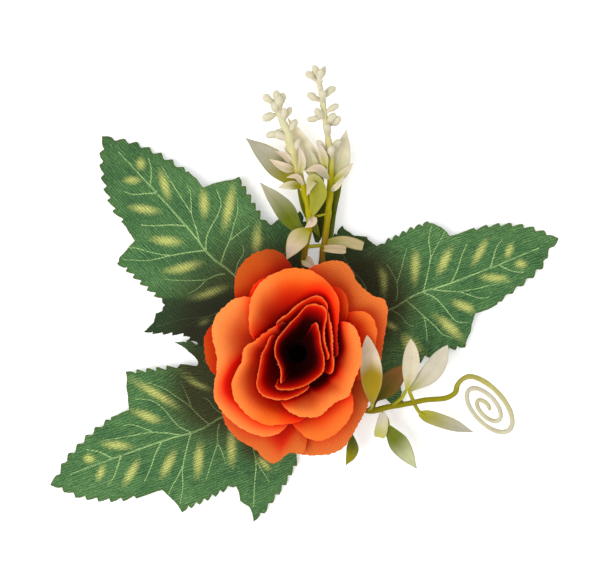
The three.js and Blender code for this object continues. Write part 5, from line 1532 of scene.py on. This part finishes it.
def build_calyx(material):
    """The cup behind the petals with five ribbed sepals."""
    piece, sepals = Piece(), Piece()
    piece.rings(around(CALYX_PROFILE, CALYX_SIDES), closed=True)
    for k in range(SEPALS):
        turn = 2 * math.pi * (k / SEPALS + SEPAL_START)
        middle = [(r * math.cos(turn), r * math.sin(turn), z) for r, z in SEPAL_MIDDLE]
        sepal = Blade(middle, SEPAL_WIDTH, DARK_OLIVE, OLIVE, DARK_OLIVE, 0.6, 0.4)
        add_blade(sepals, sepal, SEPAL_SEED + k)
    piece.add(np.concatenate(sepals.points), sepals.faces)
    settle(piece.build("calyx_cup", material, sharp=45), "calyx_plastic", "calyx")


def build_tape(material):
    """Tape wound upwards in overlapping turns: each turn ends in a small step."""
    rings, cloth = [], []
    for s in range(TAPE_COLUMNS):
        turn = 2 * math.pi * s / TAPE_COLUMNS
        profile, marks = [], []
        for k in range(TAPE_ROWS + 1):
            z = TAPE_TOP * k / TAPE_ROWS
            across = (z / TAPE_PITCH - s / TAPE_COLUMNS) % 1.0
            rounded = min(1, k / TAPE_ROUNDED_ROWS, (TAPE_ROWS - k) / TAPE_ROUNDED_ROWS)
            crease = TAPE_CREASE * math.sin(turn * TAPE_CREASES + across * TAPE_CREASE_LEAN) * (1 - across)
            profile.append((TAPE_RADIUS + TAPE_ROUND * rounded + TAPE_STEP * (1 - across) + crease, z))
            marks.append((s / TAPE_COLUMNS * TAPE_CREASES, across, z))
        profile += [(TAPE_HOLE, TAPE_TOP), (TAPE_HOLE, 0)]
        rings.append([(r * math.cos(turn), r * math.sin(turn), z) for r, z in profile])
        cloth += [*marks, (0, 1, TAPE_TOP), (0, 1, 0)]
    piece = Piece()
    piece.rings(np.array(rings), closed=True, cloth=cloth)
    settle(piece.build("wound_tape", material, sharp=40), "floral_tape", "binding")


# ---------------------------------------------------------------- settings


def length(name, default, description):
    return FloatProperty(name=name, description=description, default=default, unit="LENGTH")


def share(name, default, description):
    return FloatProperty(name=name, description=description, default=default, subtype="FACTOR")


class SPRAY_PG_petals(bpy.types.PropertyGroup):
    """The rose's cloth."""

    thickness: length("Cloth thickness", 0.00035, "Thickness of a petal")
    mesh_step: length("Column spacing", 0.0007, "Spacing of a petal's columns at its rim")
    rows: IntProperty(name="Rows", description="Rows of faces up a petal", default=32)
    ripple: length("Ripple", 0.00045, "How far the formed cloth strays from a smooth curve")
    rib_pitch: length("Rib pitch", 0.00058, "Spacing of the woven ribs")
    thread_length: length("Thread length", 0.0007, "Longest loose thread on an edge")
    thread_radius: length("Thread radius", 0.00004, "Radius of a loose thread")
    thread_share: share("Thread share", 0.5, "Share of the edge's points with a thread")


class SPRAY_PG_leaves(bpy.types.PropertyGroup):
    """The printed leaves."""

    thickness: length("Cloth thickness", 0.00045, "Thickness of a leaf")
    ripple: length("Ripple", 0.00035, "How far the cloth strays from a smooth curve")
    rib_pitch: length("Rib pitch", 0.00088, "Spacing of the woven ribs")
    thread_length: length("Thread length", 0.0009, "Longest loose thread on an edge")
    thread_radius: length("Thread radius", 0.00005, "Radius of a loose thread")
    thread_share: share("Thread share", 0.3, "Share of the edge's points with a thread")


class SPRAY_PG_sprigs(bpy.types.PropertyGroup):
    """The moulded sprigs."""

    bud_length: length("Bud length", 0.0064, "Length of a bud with its stalk")
    bud_radius: length("Bud radius", 0.00138, "Radius of a bud where it is thickest")
    bud_sides: IntProperty(name="Bud sides", description="Faces round a bud", default=12)
    seed: IntProperty(name="Seed", description="Seed of the buds' sizes", default=3)


class SPRAY_PG_studio(bpy.types.PropertyGroup):
    """Floor, lights and camera."""

    floor_colour: FloatVectorProperty(name="Floor", description="Colour of the floor", subtype="COLOR",
                                      default=(0.93, 0.93, 0.93), size=3)
    floor_glow: FloatProperty(name="Floor glow", description="Light that comes through the floor's sheet",
                              default=0.3)
    floor_size: length("Floor size", 6.0, "Side of the floor")
    camera_height: length("Camera height", 1.0, "Height of the camera")
    view_width: length("View width", 0.23256, "Width that the camera sees on the floor")
    key_power: FloatProperty(name="Key light", description="Power of the overhead softbox", default=14.0,
                             unit="POWER")
    fill_power: FloatProperty(name="Fill light", description="Power of the low fill", default=3.0,
                              unit="POWER")
    sky: FloatProperty(name="Room light", description="Strength of the room's even light", default=0.66)


# ---------------------------------------------------------------- operators


class SPRAY_OT_stage(bpy.types.Operator):
    """Lay the pale floor, hang the soft lights and set the camera straight above"""

    bl_idname = "rose_spray.stage"
    bl_label = "Stage"

    def execute(self, context):
        studio = context.scene.rose_studio
        scene = context.scene
        half = studio.floor_size / 2
        mesh = bpy.data.meshes.new("floor")
        mesh.from_pydata([(-half, -half, 0), (half, -half, 0), (half, half, 0), (-half, half, 0)], [],
                         [(0, 1, 2, 3)])
        mesh.materials.append(studio_paper(studio))
        floor = linked("floor", mesh)
        self.hang(*KEY_LIGHT, studio.key_power)
        self.hang(*FILL_LIGHT, studio.fill_power)
        world = bpy.data.worlds.new("even room")
        world.use_nodes = True
        background = world.node_tree.nodes["Background"]
        background.inputs["Color"].default_value = (1, 1, 1, 1)
        background.inputs["Strength"].default_value = studio.sky
        scene.world = world
        scene.view_settings.view_transform = "Standard"
        lens = bpy.data.cameras.new("camera")
        lens.sensor_width = SENSOR_MM
        lens.lens = lens.sensor_width * studio.camera_height / studio.view_width
        lens.clip_start, lens.clip_end = 0.01, 50
        scene.camera = linked("camera", lens)
        scene.camera.location = (*VIEW_CENTRE, studio.camera_height)
        return {"FINISHED"}

    @staticmethod
    def hang(name, place, size, power):
        light = bpy.data.lights.new(name, "AREA")
        light.shape, light.size, light.energy = "SQUARE", size, power
        box = linked(name, light)
        box.location = place
        box.rotation_mode = "QUATERNION"
        box.rotation_quaternion = (Vector(place) - Vector(LIGHTS_AIM)).to_track_quat("Z", "Y")


class SPRAY_OT_petals(bpy.types.Operator):
    """Form the rose's five rings of petals and fray their cut edges"""

    bl_idname = "rose_spray.petals"
    bl_label = "Petals"

    def execute(self, context):
        cloth = context.scene.rose_petals
        material = petal_cloth(cloth)
        edges = []
        for ring in range(len(PETAL_RINGS)):
            edges += build_petal_ring(ring, cloth, material)
        dye = thread_finish("petal threads", (236, 84, 34), (255, 156, 92))
        build_threads("rose_edge_threads", edges, cloth, dye, "petal_cloth", 7)
        return {"FINISHED"}


class SPRAY_OT_leaves(bpy.types.Operator):
    """Cut and print the three leaves, fray their edges and mould their stems"""

    bl_idname = "rose_spray.leaves"
    bl_label = "Leaves"

    def execute(self, context):
        cloth = context.scene.rose_leaves
        material = leaf_cloth(cloth)
        plastic = stem_plastic("leaf stem plastic", (136, 158, 70), (84, 110, 44))
        drawing = leaf_drawing()
        edges = []
        for name in LEAVES:
            edges += build_leaf(name, drawing, cloth, material)
            build_leaf_stem(name, plastic)
        dye = thread_finish("leaf threads", (58, 104, 64), (150, 178, 140))
        build_threads("leaf_edge_threads", edges, cloth, dye, "leaf_cloth", 11)
        return {"FINISHED"}


class SPRAY_OT_bud_sprig(bpy.types.Operator):
    """Mould the sprig with the two bud spikes"""

    bl_idname = "rose_spray.bud_sprig"
    bl_label = "Bud sprig"

    def execute(self, context):
        sizes = context.scene.rose_sprigs
        piece = Piece()
        root = [*socket_points(BUD_SOCKET), LEFT_SPIKE[0]]
        add_stem(piece, root, SPRIG_STEM_RADIUS, SPRIG_STEM_RADIUS, (DARK_OLIVE, OLIVE))
        add_stem(piece, LEFT_SPIKE, SPRIG_STEM_RADIUS * 1.15, SPRIG_STEM_RADIUS * 1.15, SPIKE_COLOURS,
                 knots=0.3, seed=2, swell=(0.76, 0.5))
        add_stem(piece, RIGHT_SPIKE, SPRIG_STEM_RADIUS * 1.15, SPRIG_STEM_RADIUS, SPIKE_COLOURS, knots=0.3,
                 seed=4, swell=(0.66, 0.2))
        add_stem(piece, CROSS_BAR, STALK_RADIUS, STALK_RADIUS, (YELLOW_GREEN, OLIVE))
        for k, blade in enumerate(BUD_SPRIG_LEAVES):
            add_blade(piece, blade, k)
        settle(piece.build("bud_sprig_moulding", sprig_plastic(), sharp=60), "sprig_plastic", "bud_sprig")
        found = [*bud_roots(LEFT_SPIKE, LEFT_BUD_TIPS, sizes.bud_length / MM),
                 *bud_roots(RIGHT_SPIKE, RIGHT_BUD_TIPS, sizes.bud_length / MM)]
        aims = [tip - root for root, tip in found]
        vectors = {"aim": aims, "length": [float(np.linalg.norm(aim)) * MM for aim in aims]}
        inputs = {"Bud radius": sizes.bud_radius, "Sides": sizes.bud_sides, "Seed": sizes.seed}
        roots = [root for root, _ in found]
        settle(grown(roots, vectors, bud_tree(bud_plastic()), inputs, "bud_whorls"), "sprig_plastic")
        return {"FINISHED"}


class SPRAY_OT_tendril_sprig(bpy.types.Operator):
    """Mould the sprig with the coiled tendril"""

    bl_idname = "rose_spray.tendril_sprig"
    bl_label = "Tendril sprig"

    def execute(self, context):
        piece = Piece()
        path = [*socket_points(TENDRIL_SOCKET), *TENDRIL_STEM, *coil_points()]
        add_stem(piece, path, SPRIG_STEM_RADIUS, TENDRIL_END_RADIUS, TENDRIL_COLOURS, step=0.5, knots=0.12,
                 seed=6)
        for points in STALKS:
            add_stem(piece, points, STALK_RADIUS, STALK_RADIUS, (OLIVE, YELLOW_GREEN))
        for k, blade in enumerate(TENDRIL_SPRIG_LEAVES):
            add_blade(piece, blade, 30 + k)
        settle(piece.build("tendril_sprig_moulding", sprig_plastic(), sharp=60), "sprig_plastic",
               "tendril_sprig")
        return {"FINISHED"}


class SPRAY_OT_core(bpy.types.Operator):
    """Make the cut stub, the calyx and the tape that binds the spray"""

    bl_idname = "rose_spray.core"
    bl_label = "Stub, calyx and tape"

    def execute(self, context):
        build_stub(stem_plastic("stub plastic", (132, 156, 74), (86, 112, 46), 0.0))
        build_calyx(stem_plastic("calyx plastic", (112, 146, 74), (66, 98, 44)))
        build_tape(floral_tape())
        return {"FINISHED"}


class SPRAY_PT_panel(bpy.types.Panel):
    """The spray's pieces in the sidebar."""

    bl_label = "Rose spray"
    bl_space_type = "VIEW_3D"
    bl_region_type = "UI"
    bl_category = "Rose spray"

    def draw(self, context):
        for operator in OPERATORS:
            self.layout.operator(operator.bl_idname)
        for group in SETTINGS:
            box = self.layout.box()
            settings = getattr(context.scene, group)
            for key in settings.__annotations__:
                box.prop(settings, key)


SETTINGS = {"rose_petals": SPRAY_PG_petals, "rose_leaves": SPRAY_PG_leaves, "rose_sprigs": SPRAY_PG_sprigs,
            "rose_studio": SPRAY_PG_studio}
OPERATORS = (SPRAY_OT_stage, SPRAY_OT_core, SPRAY_OT_petals, SPRAY_OT_leaves, SPRAY_OT_bud_sprig,
             SPRAY_OT_tendril_sprig)
CLASSES = (*SETTINGS.values(), *OPERATORS, SPRAY_PT_panel)


def register():
    for made in CLASSES:
        bpy.utils.register_class(made)
    for name, group in SETTINGS.items():
        setattr(bpy.types.Scene, name, PointerProperty(type=group))


def unregister():
    for name in SETTINGS:
        delattr(bpy.types.Scene, name)
    for made in reversed(CLASSES):
        bpy.utils.unregister_class(made)


def main():
    register()
    for operator in OPERATORS:
        family, name = operator.bl_idname.split(".")
        getattr(getattr(bpy.ops, family), name)()


if __name__ == "__main__":
    main()
